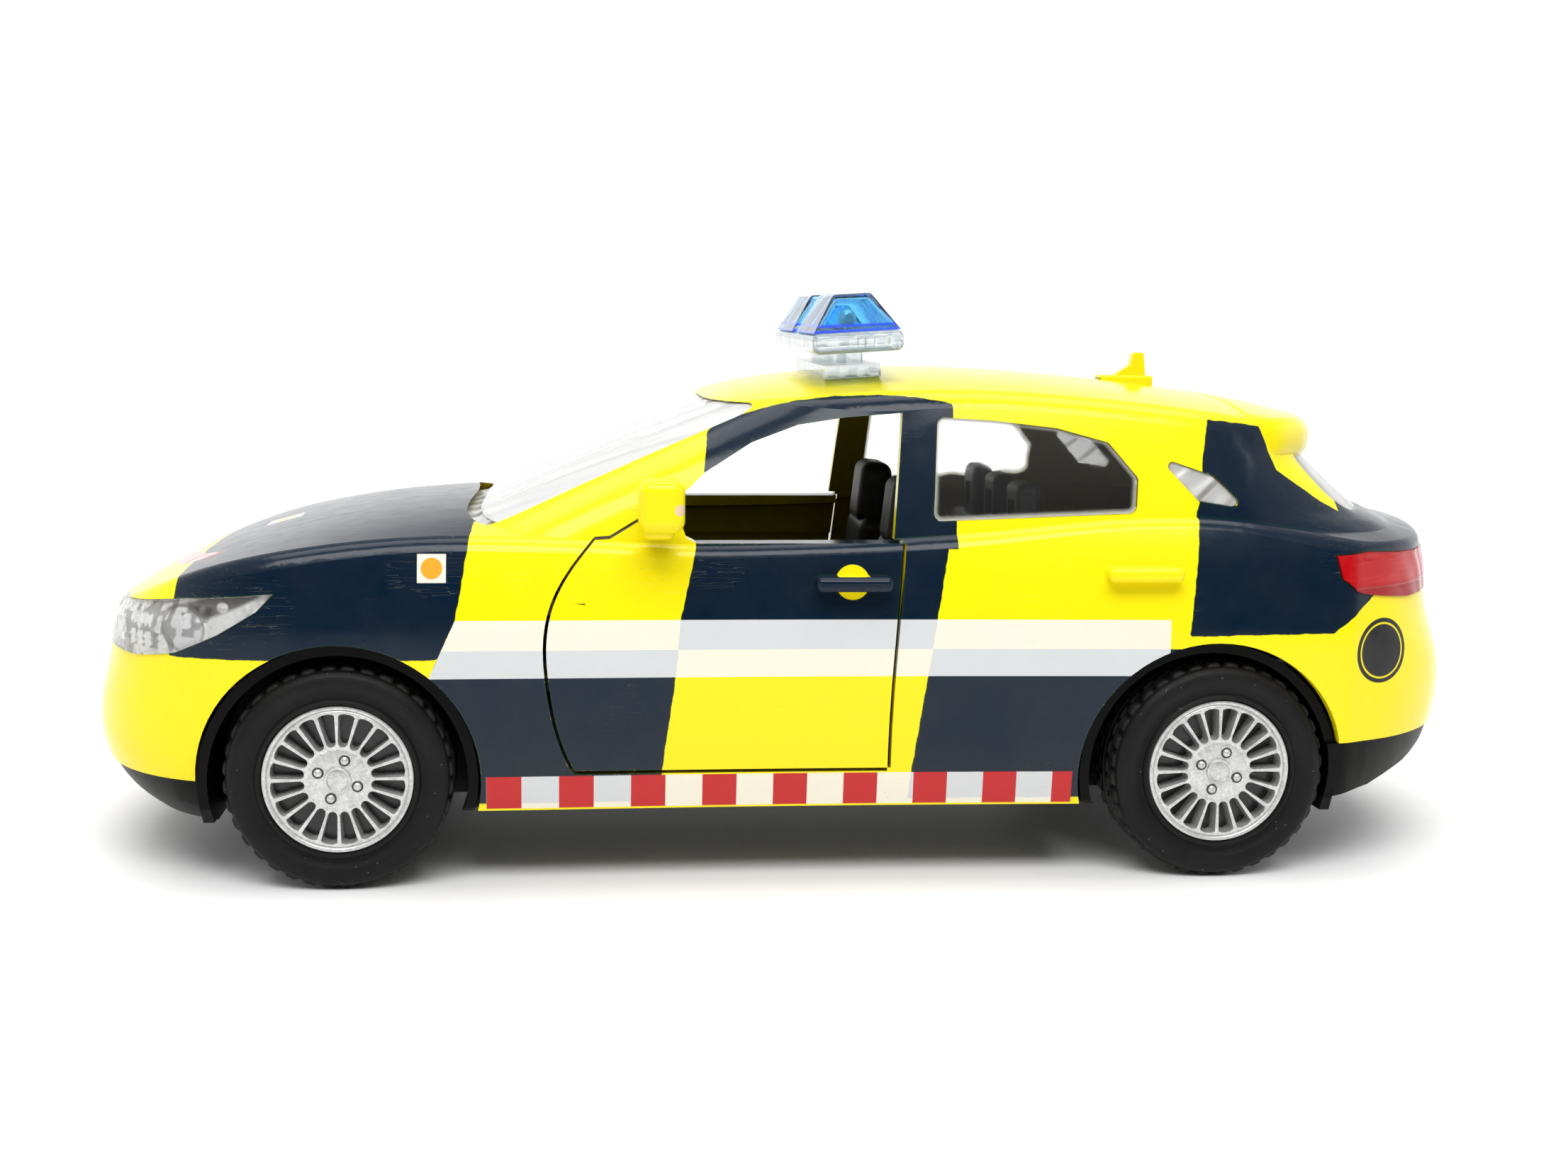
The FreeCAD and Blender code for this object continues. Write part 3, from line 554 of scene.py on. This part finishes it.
def silver_material():
    """Silver lacquer over plastic: sparkling mottle with duller, darker patches at random."""
    net = Net("Silver lacquer", Metallic=0.55)
    flakes = net.noise(3.0, 3.0, 0.7)
    patches = net.noise(0.7, 5.0, 0.7)
    color = net.mix(net.above(flakes, 0.5, 0.5), (0.44, 0.44, 0.43, 1), (0.76, 0.76, 0.75, 1))
    dull = net.times(net.above(patches, 0.60, 0.2), 0.6)
    net.set("Base Color", net.mix(dull, color, (0.42, 0.42, 0.42, 1)))
    net.set("Roughness", net.spread(patches, 0.22, 0.45))
    net.set("Normal", net.bump(flakes, 0.35, 0.00006))
    return net.material


# The cup behind the door handle lies a little below the handle's top.
handle_top = [v.co.y for v in nodes["door_left"].data.vertices
              if abs(v.co.x - HANDLE_X / 1000.0) < 0.0045
              and abs(v.co.z - HANDLE_Z / 1000.0) < 0.0012]
HANDLE_Y = max(handle_top) * 1000.0 - 0.75

paint = paint_material()
glass = clear_material("Clear plastic", (1, 1, 1, 1), (0.02, 0.09), 0.25,
                       (0.60, 0.60, 0.54, 1), 0.0008, solid=0.65, bend=1.46)
lens_blue = clear_material("Blue lens", (0.34, 0.74, 1.0, 1), (0.02, 0.08), 0.3,
                           (0.02, 0.06, 0.90, 1), 0.0006, solid=0.95, bend=1.25)
windscreen = screen_material("Front screen", 0.5, (0.5, 1.6, 0.4), 0.22)
rear_screen = screen_material("Rear screen", 0.75, (0.2, 1.1, 0.3), 0.3)
quarter_pane = screen_material("Quarter pane", 0.6, (1.7, 0.0, 1.9), 0.9)
milky = screen_material("Light bar base", 0.82, (3.2, 0.0, 0.0), 0.3, (0.94, 0.985, 1.0, 1))
lens_red = tail_glass()
lamp_cover = lamp_glass()
lamp_bowl = lamp_bowl_material()
black = moulded_material("Black plastic", (0.004, 0.0044, 0.0042, 1), (0.34, 0.5), wells=True,
                         Specular_IOR_Level=0.12)
seat_black = moulded_material("Cabin plastic", (0.013, 0.013, 0.014, 1), (0.42, 0.6), 1.2,
                              0.0001)
trim_black = moulded_material("Glossy black plastic", (0.008, 0.008, 0.009, 1), (0.12, 0.3))
rubber = rubber_material()
silver = silver_material()
steel = moulded_material("Axle steel", (0.42, 0.42, 0.43, 1), (0.25, 0.4), 3.0, 0.00003,
                         Metallic=1.0)
chrome = moulded_material("Plated plastic", (0.7, 0.7, 0.72, 1), (0.06, 0.2), 1.0, 0.00003,
                          Metallic=1.0)
pale = moulded_material("Pale card", (0.80, 0.80, 0.76, 1), (0.3, 0.5), 1.0, 0.00002)

# A node takes the first material whose words its name starts with.
LOOKS = (("body_shell", paint), ("door_", paint), ("mirror_", paint), ("aerial", paint),
         ("windscreen", windscreen), ("rear_window", rear_screen), ("side_window", glass),
         ("quarter_window", quarter_pane), ("headlamp", lamp_cover), ("lamp_bowl", lamp_bowl),
         ("tail_lamp", lens_red), ("grille", chrome), ("chassis", black), ("axle", steel),
         ("rim_", silver), ("tyre_", rubber), ("beacon_base", milky),
         ("beacon_dome", lens_blue), ("seat", seat_black), ("rear_bench", seat_black),
         ("", black))


def smooth_by_angle(item, degrees=32):
    """Smooth shading that keeps crisp edges where faces meet at more than an angle."""
    mesh = item.data
    mesh.polygons.foreach_set("use_smooth", [True] * len(mesh.polygons))
    mesh.set_sharp_from_angle(angle=math.radians(degrees))


for name, item in nodes.items():
    item.data.materials.clear()
    item.data.materials.append([look for start, look in LOOKS if name.startswith(start)][0])
    smooth_by_angle(item)


def show(name, mesh, material, body, degrees=32):
    """Object for a mesh, riding on a body and taking its finish from a slot."""
    mesh.materials.append(material)
    item = bpy.data.objects.new(name, mesh)
    bpy.context.scene.collection.objects.link(item)
    smooth_by_angle(item, degrees)
    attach(item, body)
    return item


def piece(name, shape, material, body, degrees=32):
    """New piece from a shape: points in millimetres and faces."""
    verts, faces = shape
    mesh = bpy.data.meshes.new(name)
    mesh.from_pydata([(a / 1000.0, b / 1000.0, c / 1000.0) for a, b, c in verts], [], faces)
    mesh.validate()
    return show(name, mesh, material, body, degrees)


def lathe(profile, x, z, side, count, reshape=None):
    """Ring turned about an axle; the profile is (y, radius) and is closed."""
    verts, faces = [], []
    n = len(profile)
    for k in range(count):
        angle = 2 * math.pi * k / count
        for y, radius in profile:
            r, shift = reshape(y, radius, k) if reshape else (radius, 0.0)
            verts.append((x + r * math.cos(angle), side * (y + shift), z + r * math.sin(angle)))
    for k in range(count):
        ahead = (k + 1) % count * n
        for j in range(n):
            j_next = (j + 1) % n
            face = (k * n + j, k * n + j_next, ahead + j_next, ahead + j)
            faces.append(face if side > 0 else face[::-1])
    return verts, faces


def slab(top, bottom, wide):
    """Closed plate between two sheets of points, each given row by row."""
    n = len(top)
    rows = n // wide
    faces = []
    for i in range(rows - 1):
        for j in range(wide - 1):
            a = i * wide + j
            faces.append((a, a + wide, a + wide + 1, a + 1))
            faces.append((n + a, n + a + 1, n + a + wide + 1, n + a + wide))
    border = list(range(wide)) + [i * wide + wide - 1 for i in range(1, rows)]
    border += [n - wide + j for j in range(wide - 2, -1, -1)]
    border += [i * wide for i in range(rows - 2, 0, -1)]
    for a, b in zip(border, border[1:] + border[:1]):
        faces.append((b, n + b, n + a, a))
    return list(top) + list(bottom), faces


def box(low, high):
    corners = [(x, y, z) for z in (low[2], high[2])
               for x, y in ((low[0], low[1]), (high[0], low[1]),
                            (high[0], high[1]), (low[0], high[1]))]
    walls = [(k, (k + 1) % 4, (k + 1) % 4 + 4, k + 4) for k in range(4)]
    return corners, [(3, 2, 1, 0), (4, 5, 6, 7)] + walls


def join(shapes):
    verts, faces = [], []
    for more, sides in shapes:
        start = len(verts)
        verts.extend(more)
        faces.extend(tuple(start + k for k in face) for face in sides)
    return verts, faces


def follow(value, pairs):
    """Straight lines between (place, height) pairs."""
    if value <= pairs[0][0]:
        return pairs[0][1]
    for (a, low), (b, high) in zip(pairs, pairs[1:]):
        if value <= b:
            return low + (high - low) * (value - a) / (b - a)
    return pairs[-1][1]


def ease(value, start, end):
    share = min(1.0, max(0.0, (value - start) / (end - start)))
    return share * share * (3.0 - 2.0 * share)


# The tail as the photo has it: corners swept forward and the roof's end rounded off. The
# tables go by distance from the car's middle plane: how far the lower body and the screen
# move, over what length the move grows, and how much of its length the roof's end keeps.
LOW_SHIFT = ((0, 0.3), (6, 0.7), (10, 1.1), (14, 1.7), (17, 2.0), (19, 2.3), (21, 2.5),
             (23, 2.8), (25, 3.0), (28, 3.1))
LOW_REACH = ((0, 18.0), (14, 17.0), (19, 15.0), (23, 12.0), (26, 9.0), (30, 6.5))
HIGH_SHIFT = ((0, 1.8), (10, 2.4), (14, 3.0), (18, 3.5), (21, 3.8), (23, 3.8), (25, 2.8),
              (26.5, 1.0), (28, 0.0))
HIGH_REACH = ((0, 13.0), (19, 13.0), (21, 11.0), (23, 8.0), (25, 6.5), (30, 6.0))
ROOF_SHARE = ((0, 0.824), (8, 0.79), (12, 0.727), (14, 0.676), (17, 0.603), (19, 0.49),
              (20.2, 0.42), (21, 0.66), (22, 0.55), (23, 0.34), (24, 0.34), (26, 0.6),
              (30, 1.0))
ROOF_PIVOT = ((20.0, -46.0), (21.0, -43.5))
LOW_START, HIGH_START = -54.5, -43.5

# The roof's crown along the car, how it droops and how its tip is swept to the sides.
CROWN = ((-57.5, 47.1), (-57.0, 47.35), (-56.0, 47.66), (-55.0, 47.94), (-54.0, 48.21),
         (-52.0, 48.67), (-50.0, 49.07), (-48.0, 49.37), (-46.0, 49.66))
DROOP = ((0, 0.0), (4, 0.03), (8, 0.17), (12, 0.46), (15, 0.80), (17, 1.06), (19, 1.38),
         (20.4, 1.70), (21.5, 2.4))
ROOF_TIP = -58.2
ROOF_CORNER = ((0, 0.0), (6, 0.3), (10, 1.0), (14, 2.4), (17, 4.2), (19, 6.0), (20.4, 7.4),
               (21.5, 9.0), (24, 14.0))

SILL_Z = 7.95


def swept(x, y, z):
    """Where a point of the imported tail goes, in millimetres."""
    side = abs(y)
    if x > HIGH_START:
        # Between the wheels nothing of the base plate hangs below the sills.
        hangs = abs(x - WHEELBASE_MIDDLE) < 33.0 and side > 22.0
        return x, y, max(z, SILL_Z) if hangs else z
    low = follow(side, LOW_SHIFT) * (1.0 - 0.35 * ease(z, 33.0, 35.5))
    low *= ease(-x, -LOW_START, -LOW_START + follow(side, LOW_REACH))
    high = follow(side, HIGH_SHIFT)
    high *= ease(-x, -HIGH_START, -HIGH_START + follow(side, HIGH_REACH))
    roof = (1.0 - follow(side, ROOF_SHARE)) * max(0.0, follow(side, ROOF_PIVOT) - x)
    shift = low + (high - low) * ease(z, 35.8, 38.0)
    shift += (roof - shift) * ease(z, 43.8, 45.2)
    x += shift
    if z > 44.2 and x < -46.8 and side < 20.7:
        # The old lip goes below the rounded roof end.
        x = max(x, ROOF_TIP + follow(side, ROOF_CORNER) + 0.9)
        z = min(z, follow(x, CROWN) - follow(side, DROOP) - 0.25)
    return x, y, z


def sweep(name, fine=False):
    """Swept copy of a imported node; fine cuts the roof's end so that it can bend."""
    source = nodes[name].data
    grid = bmesh.new()
    grid.from_mesh(source)
    if fine:
        cuts = [((0, 0.0015 * k, 0), (0, 1, 0)) for k in range(-16, 17)]
        cuts += [((-0.001 * k, 0, 0), (1, 0, 0)) for k in range(46, 62, 2)]
        for place, normal in cuts:
            near = [f for f in grid.faces if f.calc_center_median().x < -0.046
                    and f.calc_center_median().z > 0.0435]
            verts = dict.fromkeys(v for f in near for v in f.verts)
            edges = dict.fromkeys(e for f in near for e in f.edges)
            bmesh.ops.bisect_plane(grid, geom=list(verts) + list(edges) + near,
                                   plane_co=place, plane_no=normal, dist=1e-6)
    for v in grid.verts:
        v.co = Vector(swept(*(v.co * 1000.0))) / 1000.0
    mesh = bpy.data.meshes.new(name + "_swept")
    grid.to_mesh(mesh)
    grid.free()
    mesh.materials.clear()
    item = show(name + "_swept", mesh, source.materials[0], "car")
    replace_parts(item, name)
    return item


TIP_RADIUS = 2.3
CAP_START, CAP_FOOT = -46.6, 43.5
CAP_STEPS = 8


def roof_section(y):
    """Section of the roof's end at a distance from the middle plane, front to foot."""
    side = abs(y)
    tip = ROOF_TIP + follow(side, ROOF_CORNER)
    start = tip + TIP_RADIUS
    points = []
    for k in range(CAP_STEPS + 1):
        x = CAP_START + (start - CAP_START) * k / CAP_STEPS
        points.append((x, follow(x, CROWN) - follow(side, DROOP) + 0.05))
    crest = points[-1][1]
    for k in range(1, CAP_STEPS + 1):
        angle = math.radians(90.0 * k / CAP_STEPS)
        points.append((start - TIP_RADIUS * math.sin(angle),
                       crest - TIP_RADIUS + TIP_RADIUS * math.cos(angle)))
    lip = points[-1][1]
    for share, forward in ((0.35, 0.03), (0.7, 0.22), (1.0, 0.62)):
        points.append((tip + forward, lip + (CAP_FOOT - lip) * share))
    # The cap's sides dive into the pillars.
    dive = ease(side, 21.0, 21.7)
    return [(x + 1.4 * dive, y, z - 1.3 * dive) for x, z in points]


shell = sweep("body_shell", fine=True)
sweep("rear_window")
for hand, side in SIDES:
    sweep("tail_lamp_" + hand)
sweep("chassis")

sections = [roof_section(21.7 * math.sin(math.radians(3.0 * k))) for k in range(-30, 31)]
cap = [point for section in sections for point in section]
piece("roof_end", slab(cap, [(x + 0.9, y * 0.97, z - 0.6) for x, y, z in cap],
                       len(sections[0])), paint, "car", 50)


# Tyres with a bead ring, a rounded wall and knobbed shoulders: (depth from the face, radius)
# up to the middle of the tread.
HALF_WALL = [(1.3, 7.53), (0.35, 7.55), (0.05, 7.72), (0.0, 7.95), (0.14, 8.12), (0.42, 8.22),
             (0.44, 8.42), (0.30, 8.75), (0.12, 9.15), (0.02, 9.6), (0.0, 9.95), (0.08, 10.3),
             (0.24, 10.6), (0.46, 10.84), (0.62, 10.93), (0.86, 11.0), (0.92, 11.18),
             (1.0, 11.28), (1.2, 11.34), (1.5, 11.37), (1.9, 11.38), (2.35, 11.39),
             (2.5, 11.2), (2.75, 11.2), (2.9, 11.39), (3.6, 11.4), (3.75, 11.18),
             (4.0, 11.18), (4.15, 11.4)]
KNOBS, PER_KNOB = 36, 8


def knobs(y, radius, k):
    """Cut the grooves between the tread blocks into the shoulders."""
    depth = TYRE_FACE_Y - y
    near = min(depth, TYRE_WIDTH - depth)
    phase = k % PER_KNOB
    if radius > 11.1 and near < 2.45:
        return (radius - (0.34 if phase in (0, 1) else 0.10 if phase in (2, 7) else 0.0), 0.0)
    if radius > 11.3 and 2.8 < near < 3.7:
        return (radius - (0.32 if (k + 4) % PER_KNOB in (0, 1) else 0.0), 0.0)
    return radius, 0.0


def tyre(x, side):
    profile = [(TYRE_FACE_Y - depth, r) for depth, r in HALF_WALL]
    profile += [(TYRE_FACE_Y - TYRE_WIDTH + depth, r) for depth, r in reversed(HALF_WALL)]
    return lathe(profile, x, AXLE_Z, side, KNOBS * PER_KNOB, knobs)


# Rims with a stepped lip and tapered slots with rounded ends.
FACE = 28.8
SLOTS, PER_SLOT = 20, 16
SLOT_RADIUS, SLOT_HALF_LENGTH, SLOT_DEPTH = 5.0, 1.66, 2.6
RIM_LIP = [(22.2, 7.5), (28.60, 7.5), (28.84, 7.42), (28.88, 7.30), (28.88, 7.16),
           (28.80, 7.04), (28.66, 6.98)]
FACE_RADII = (6.84, 6.78, 6.72, 6.66, 6.60, 6.52, 6.42, 6.25, 6.0, 5.6, 5.0, 4.4, 3.9, 3.60,
              3.46, 3.38, 3.32, 3.26, 3.2)


def slots(y, radius, k):
    """Sink the face between the spokes."""
    phase = k % PER_SLOT - (PER_SLOT - 1) / 2.0
    along = (radius - SLOT_RADIUS) / SLOT_HALF_LENGTH
    half = (0.335 + 0.018 * (radius - 3.4)) * PER_SLOT
    rounding = math.sqrt(max(0.0, 1.0 - max(0.0, abs(along) - 0.78) ** 2 / 0.0484))
    inside = abs(along) < 1.0 and y > 28.0 and abs(phase) < half * rounding
    return radius, (-SLOT_DEPTH if inside else 0.0)


def rim(x, side):
    profile = RIM_LIP + [(FACE - 0.02, r) for r in FACE_RADII]
    profile += [(FACE - 0.3, 1.0), (22.2, 1.0)]
    return lathe(profile, x, AXLE_Z, side, SLOTS * PER_SLOT, slots)


# Hub: scalloped disc, ringed cap and four domed bolts in dished seats, as (height over the
# hub's base, radius).
HUB_BASE = FACE - 0.16
HUB_DISC = ((0.0, 3.08), (0.10, 3.02), (0.14, 2.85), (0.12, 1.35), (0.42, 1.30), (0.46, 1.20),
            (0.42, 1.08), (0.26, 1.0), (0.30, 0.7), (0.34, 0.35), (0.34, 0.02), (-0.2, 0.02),
            (-0.2, 3.0))
BOLT = ((0.10, 0.62), (0.20, 0.58), (0.20, 0.52), (0.12, 0.47), (0.12, 0.43), (0.34, 0.38),
        (0.46, 0.22), (0.50, 0.02), (0.0, 0.02), (0.0, 0.62))
BOLT_SEAT = ((0.225, 0.40), (0.225, 0.57), (0.1, 0.60), (0.1, 0.40))
BOLT_ANGLES = (110, 20, -70, -160)
BOLT_CIRCLE = 2.05
SPOKE_BACK = ((26.95, 2.44), (26.95, 6.7), (26.7, 6.7), (26.7, 2.44))


def scallop(y, radius, k):
    notch = 0.16 if k % 6 in (0, 1) and 2.7 < radius < 3.2 else 0.0
    return radius + notch, 0.0


def on_hub(profile):
    return [(HUB_BASE + height, radius) for height, radius in profile]


def bolt_ring(profile, x, side):
    """The same turned shape at each bolt."""
    shapes = []
    for degrees in BOLT_ANGLES:
        angle = math.radians(degrees)
        shapes.append(lathe(on_hub(profile), x + BOLT_CIRCLE * math.cos(angle),
                            AXLE_Z + BOLT_CIRCLE * math.sin(angle), side, 24))
    return shapes


for end, x in AXLES:
    body = end + "_wheelset"
    for hand, side in SIDES:
        where = "_%s_%s" % (end, hand)
        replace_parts(piece("tyre_tread" + where, tyre(x, side), rubber, body, 40),
                    "tyre" + where)
        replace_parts(piece("rim_cast" + where, rim(x, side), silver, body, 50),
                    "rim" + where)
        disc = lathe(on_hub(HUB_DISC), x, AXLE_Z, side, 120, scallop)
        piece("hub" + where, join([disc] + bolt_ring(BOLT, x, side)), silver, body,
              40)
        piece("bolt_seats" + where, join(bolt_ring(BOLT_SEAT, x, side)), trim_black, body,
              40)
        piece("spoke_back" + where, lathe(SPOKE_BACK, x, AXLE_Z, side, 96), trim_black, body,
              30)


# Blue domes as thin shells, each with a bulb on a stem and a foot inside.
DOME_WALL = 0.55
BULB = ((9.2, 0.02), (9.3, 0.55), (9.6, 0.85), (10.1, 1.0), (10.7, 0.9), (11.1, 0.6),
        (11.2, 0.42), (12.0, 0.42), (12.0, 0.02))
BULB_Y = 10.4
FOOT_HALF = 1.6

for hand, side in SIDES:
    name = "beacon_dome_" + hand
    outer = [tuple(v.co * 1000.0) for v in nodes[name].data.vertices]
    sides = [tuple(f.vertices) for f in nodes[name].data.polygons]
    low = [min(v[k] for v in outer) for k in range(3)]
    high = [max(v[k] for v in outer) for k in range(3)]
    middle = [(a + b) / 2.0 for a, b in zip(low, high)]
    shrink = [1.0 - 2 * DOME_WALL / (b - a) for a, b in zip(low, high)]
    inner = [tuple(m + (c - m) * f for c, m, f in zip(v, middle, shrink)) for v in outer]
    hollow = join([(outer, sides), (inner, [face[::-1] for face in sides])])
    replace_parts(piece("dome_" + hand, hollow, lens_blue, "car"), name)
    bulb = lathe(BULB, middle[0], low[2] + 1.9, side, 24)
    foot = box((middle[0] - FOOT_HALF, side * BULB_Y - FOOT_HALF, low[2] + 0.56),
               (middle[0] + FOOT_HALF, side * BULB_Y + FOOT_HALF, low[2] + 1.2))
    piece("bulb_" + hand, join([bulb, foot]), silver, "car", 40)


# Screws that hold the base plate: (radius on the cross, radius beside it, drop) from the rim
# in to the raised middle of the recess.
SCREW_RINGS = ((1.32, 1.32, 0.0), (1.32, 1.32, -0.3), (1.15, 1.15, -0.46), (0.85, 0.85, -0.5),
               (0.72, 0.24, -0.5), (0.6, 0.2, -0.16))
SCREW_COUNT = 48
SCREW_TOP = 8.25


def screw(x):
    """Dished head with a cross recess, facing down."""
    verts, faces = [], []
    for wide, narrow, drop in SCREW_RINGS:
        for k in range(SCREW_COUNT):
            a = 2 * math.pi * k / SCREW_COUNT
            radius = wide if max(abs(math.cos(a)), abs(math.sin(a))) > 0.955 else narrow
            verts.append((x + radius * math.cos(a), radius * math.sin(a), SCREW_TOP + drop))
    last = len(SCREW_RINGS) - 1
    for j in range(last):
        for k in range(SCREW_COUNT):
            a, b = j * SCREW_COUNT + k, j * SCREW_COUNT + (k + 1) % SCREW_COUNT
            faces.append((a, a + SCREW_COUNT, b + SCREW_COUNT, b))
    faces.append(tuple(range(last * SCREW_COUNT, (last + 1) * SCREW_COUNT)))
    faces.append(tuple(reversed(range(SCREW_COUNT))))
    return verts, faces


piece("base_screw_1", screw(-20.5), steel, "car", 35)
piece("base_screw_2", screw(29.5), steel, "car", 35)


# Clear tray between the bonnet's rear edge and the foot of the front screen: (place along the
# car, rise over the bonnet's edge), and that edge's height to the sides.
TRAY = ((36.3, -0.95), (35.4, -0.85), (34.8, -0.78), (34.3, -0.60), (33.8, -0.20),
        (33.3, 0.12), (32.7, 0.22))
BONNET_EDGE = ((0, 37.89), (10, 37.52), (18, 36.9), (22, 36.42))
TRAY_STEPS, TRAY_HALF, TRAY_THICKNESS = 44, 21.6, 0.5

tray = []
for i in range(TRAY_STEPS + 1):
    y = -TRAY_HALF + 2 * TRAY_HALF * i / TRAY_STEPS
    for place, rise in TRAY:
        tray.append((place - 0.5 * ease(abs(y), 17.0, 22.0), y,
                     follow(abs(y), BONNET_EDGE) + rise))
piece("cowl_tray", slab(tray, [(x, y, z - TRAY_THICKNESS) for x, y, z in tray], len(TRAY)),
      windscreen, "car", 40)


# Blank plate draped into the recess of the tail, with a raised border.
shell_tree = BVHTree.FromPolygons([v.co for v in shell.data.vertices],
                                  [tuple(p.vertices) for p in shell.data.polygons])
PLATE_HALF, PLATE_LOW, PLATE_HEIGHT = 8.2, 24.7, 4.2
COLUMNS, ROWS = 25, 7


def tail_x(y, z):
    hit = shell_tree.ray_cast(Vector((-0.09, y / 1000.0, z / 1000.0)), Vector((1, 0, 0)))
    return hit[0].x * 1000.0


plate_front, plate_back = [], []
for j in range(ROWS):
    for i in range(COLUMNS):
        y = -PLATE_HALF + 2 * PLATE_HALF * i / (COLUMNS - 1)
        z = PLATE_LOW + PLATE_HEIGHT * j / (ROWS - 1)
        thickness = 0.40 if i in (0, COLUMNS - 1) or j in (0, ROWS - 1) else 0.34
        plate_back.append((tail_x(y, z) - 0.02, y, z))
        plate_front.append((tail_x(y, z) - 0.02 - thickness, y, z))
piece("rear_plate", slab(plate_front, plate_back, COLUMNS), pale, "car", 30)


# Table top, room, lights and camera, in metres.
def table_material():
    net = Net("Table top", Roughness=0.55)
    x, y, z = net.place()
    # Grey on the camera's side of the table: painted shade, so that the flanks reflect a darker
    # floor.
    camera_side = net.above(y, 185.0, 150.0)
    grain = net.mix(net.noise(0.4, 3.0), (0.90, 0.90, 0.90, 1), (0.93, 0.93, 0.93, 1))
    net.set("Base Color", net.mix(camera_side, grain, (0.50, 0.50, 0.50, 1)))
    net.set("Emission Color", (1, 1, 1, 1))
    net.set("Emission Strength", net.times(net.below(y, -300.0, 400.0), 0.6))
    return net.material


TABLE_HALF = 6
mesh = bpy.data.meshes.new("table")
mesh.from_pydata([(TABLE_HALF * a, TABLE_HALF * b, 0)
                  for a, b in ((-1, -1), (1, -1), (1, 1), (-1, 1))], [], [(0, 1, 2, 3)])
table = bpy.data.objects.new("table", mesh)
bpy.context.scene.collection.objects.link(table)
table.data.materials.append(table_material())

# White room, darker on the camera's side near the ground so that the flanks keep their depth.
world = bpy.data.worlds.new("Studio")
bpy.context.scene.world = world
world.use_nodes = True
tree = world.node_tree
direction = tree.nodes.new("ShaderNodeTexCoord")
split = tree.nodes.new("ShaderNodeSeparateXYZ")
tree.links.new(direction.outputs["Generated"], split.inputs[0])
toward_camera, upward = split.outputs[1], split.outputs[2]


def world_math(operation, a, b, c=0.0, clamp=False):
    item = tree.nodes.new("ShaderNodeMath")
    item.operation, item.use_clamp = operation, clamp
    for socket, value in zip(item.inputs, (a, b, c)):
        if isinstance(value, bpy.types.NodeSocket):
            tree.links.new(value, socket)
        else:
            socket.default_value = value
    return item.outputs[0]


def ramp(value, slope, start):
    return world_math("MULTIPLY_ADD", value, slope, start, clamp=True)


dim = world_math("MULTIPLY", ramp(toward_camera, 2.2, -0.55), ramp(upward, -2.6, 1.75))
backdrop = world_math("MULTIPLY", ramp(toward_camera, -1.7, 0.75), ramp(upward, -5.0, 2.2))
room = world_math("MULTIPLY_ADD", dim, -0.52, 0.64)
background = tree.nodes["Background"]
background.inputs[0].default_value = (1.0, 1.0, 1.0, 1)
tree.links.new(world_math("MULTIPLY_ADD", backdrop, 0.52, room), background.inputs[1])


def soft_light(name, place, aim, power, width, height):
    data = bpy.data.lights.new(name, "AREA")
    data.shape = "RECTANGLE"
    data.size = width
    data.size_y = height
    data.energy = power
    lamp = bpy.data.objects.new(name, data)
    bpy.context.scene.collection.objects.link(lamp)
    lamp.location = place
    lamp.rotation_euler = (Vector(aim) - Vector(place)).to_track_quat("-Z", "Y").to_euler()


soft_light("Key", (0.05, 0.42, 0.56), (0, 0, 0.02), 3.9, 0.6, 0.28)
soft_light("Overhead", (0.0, -0.06, 0.60), (0, 0, 0), 1.8, 0.6, 0.3)
bpy.context.scene.view_settings.view_transform = "Standard"

# The photograph's camera, solved from the wheels' outlines: focal length in photo pixels,
# place and angles.
PHOTO_WIDTH, FOCAL_PIXELS, SENSOR = 2212.0, 2800.0, 36.0
CAMERA_PLACE = (0.0248, 0.2249, 0.0587)
YAW, PITCH, ROLL = 6.2, 8.09, 0.89

camera_data = bpy.data.cameras.new("Camera")
camera_data.sensor_width = SENSOR
camera_data.lens = FOCAL_PIXELS / PHOTO_WIDTH * SENSOR
camera_data.clip_start = 0.01
camera = bpy.data.objects.new("Camera", camera_data)
bpy.context.scene.collection.objects.link(camera)
yaw, pitch, roll = (math.radians(a) for a in (YAW, PITCH, ROLL))
level = Matrix(((-1, 0, 0), (0, 0, -1), (0, -1, 0)))
turn = Matrix(((math.cos(yaw), 0, -math.sin(yaw)), (0, 1, 0), (math.sin(yaw), 0, math.cos(yaw))))
tilt = Matrix(((1, 0, 0), (0, math.cos(pitch), -math.sin(pitch)),
               (0, math.sin(pitch), math.cos(pitch))))
bank = Matrix(((math.cos(roll), -math.sin(roll), 0), (math.sin(roll), math.cos(roll), 0),
               (0, 0, 1)))
view = bank @ tilt @ turn @ level
right, down, ahead = view[0], view[1], view[2]
pose = Matrix((right, -Vector(down), -Vector(ahead))).transposed().to_4x4()
camera.matrix_world = Matrix.Translation(CAMERA_PLACE) @ pose
bpy.context.scene.camera = camera

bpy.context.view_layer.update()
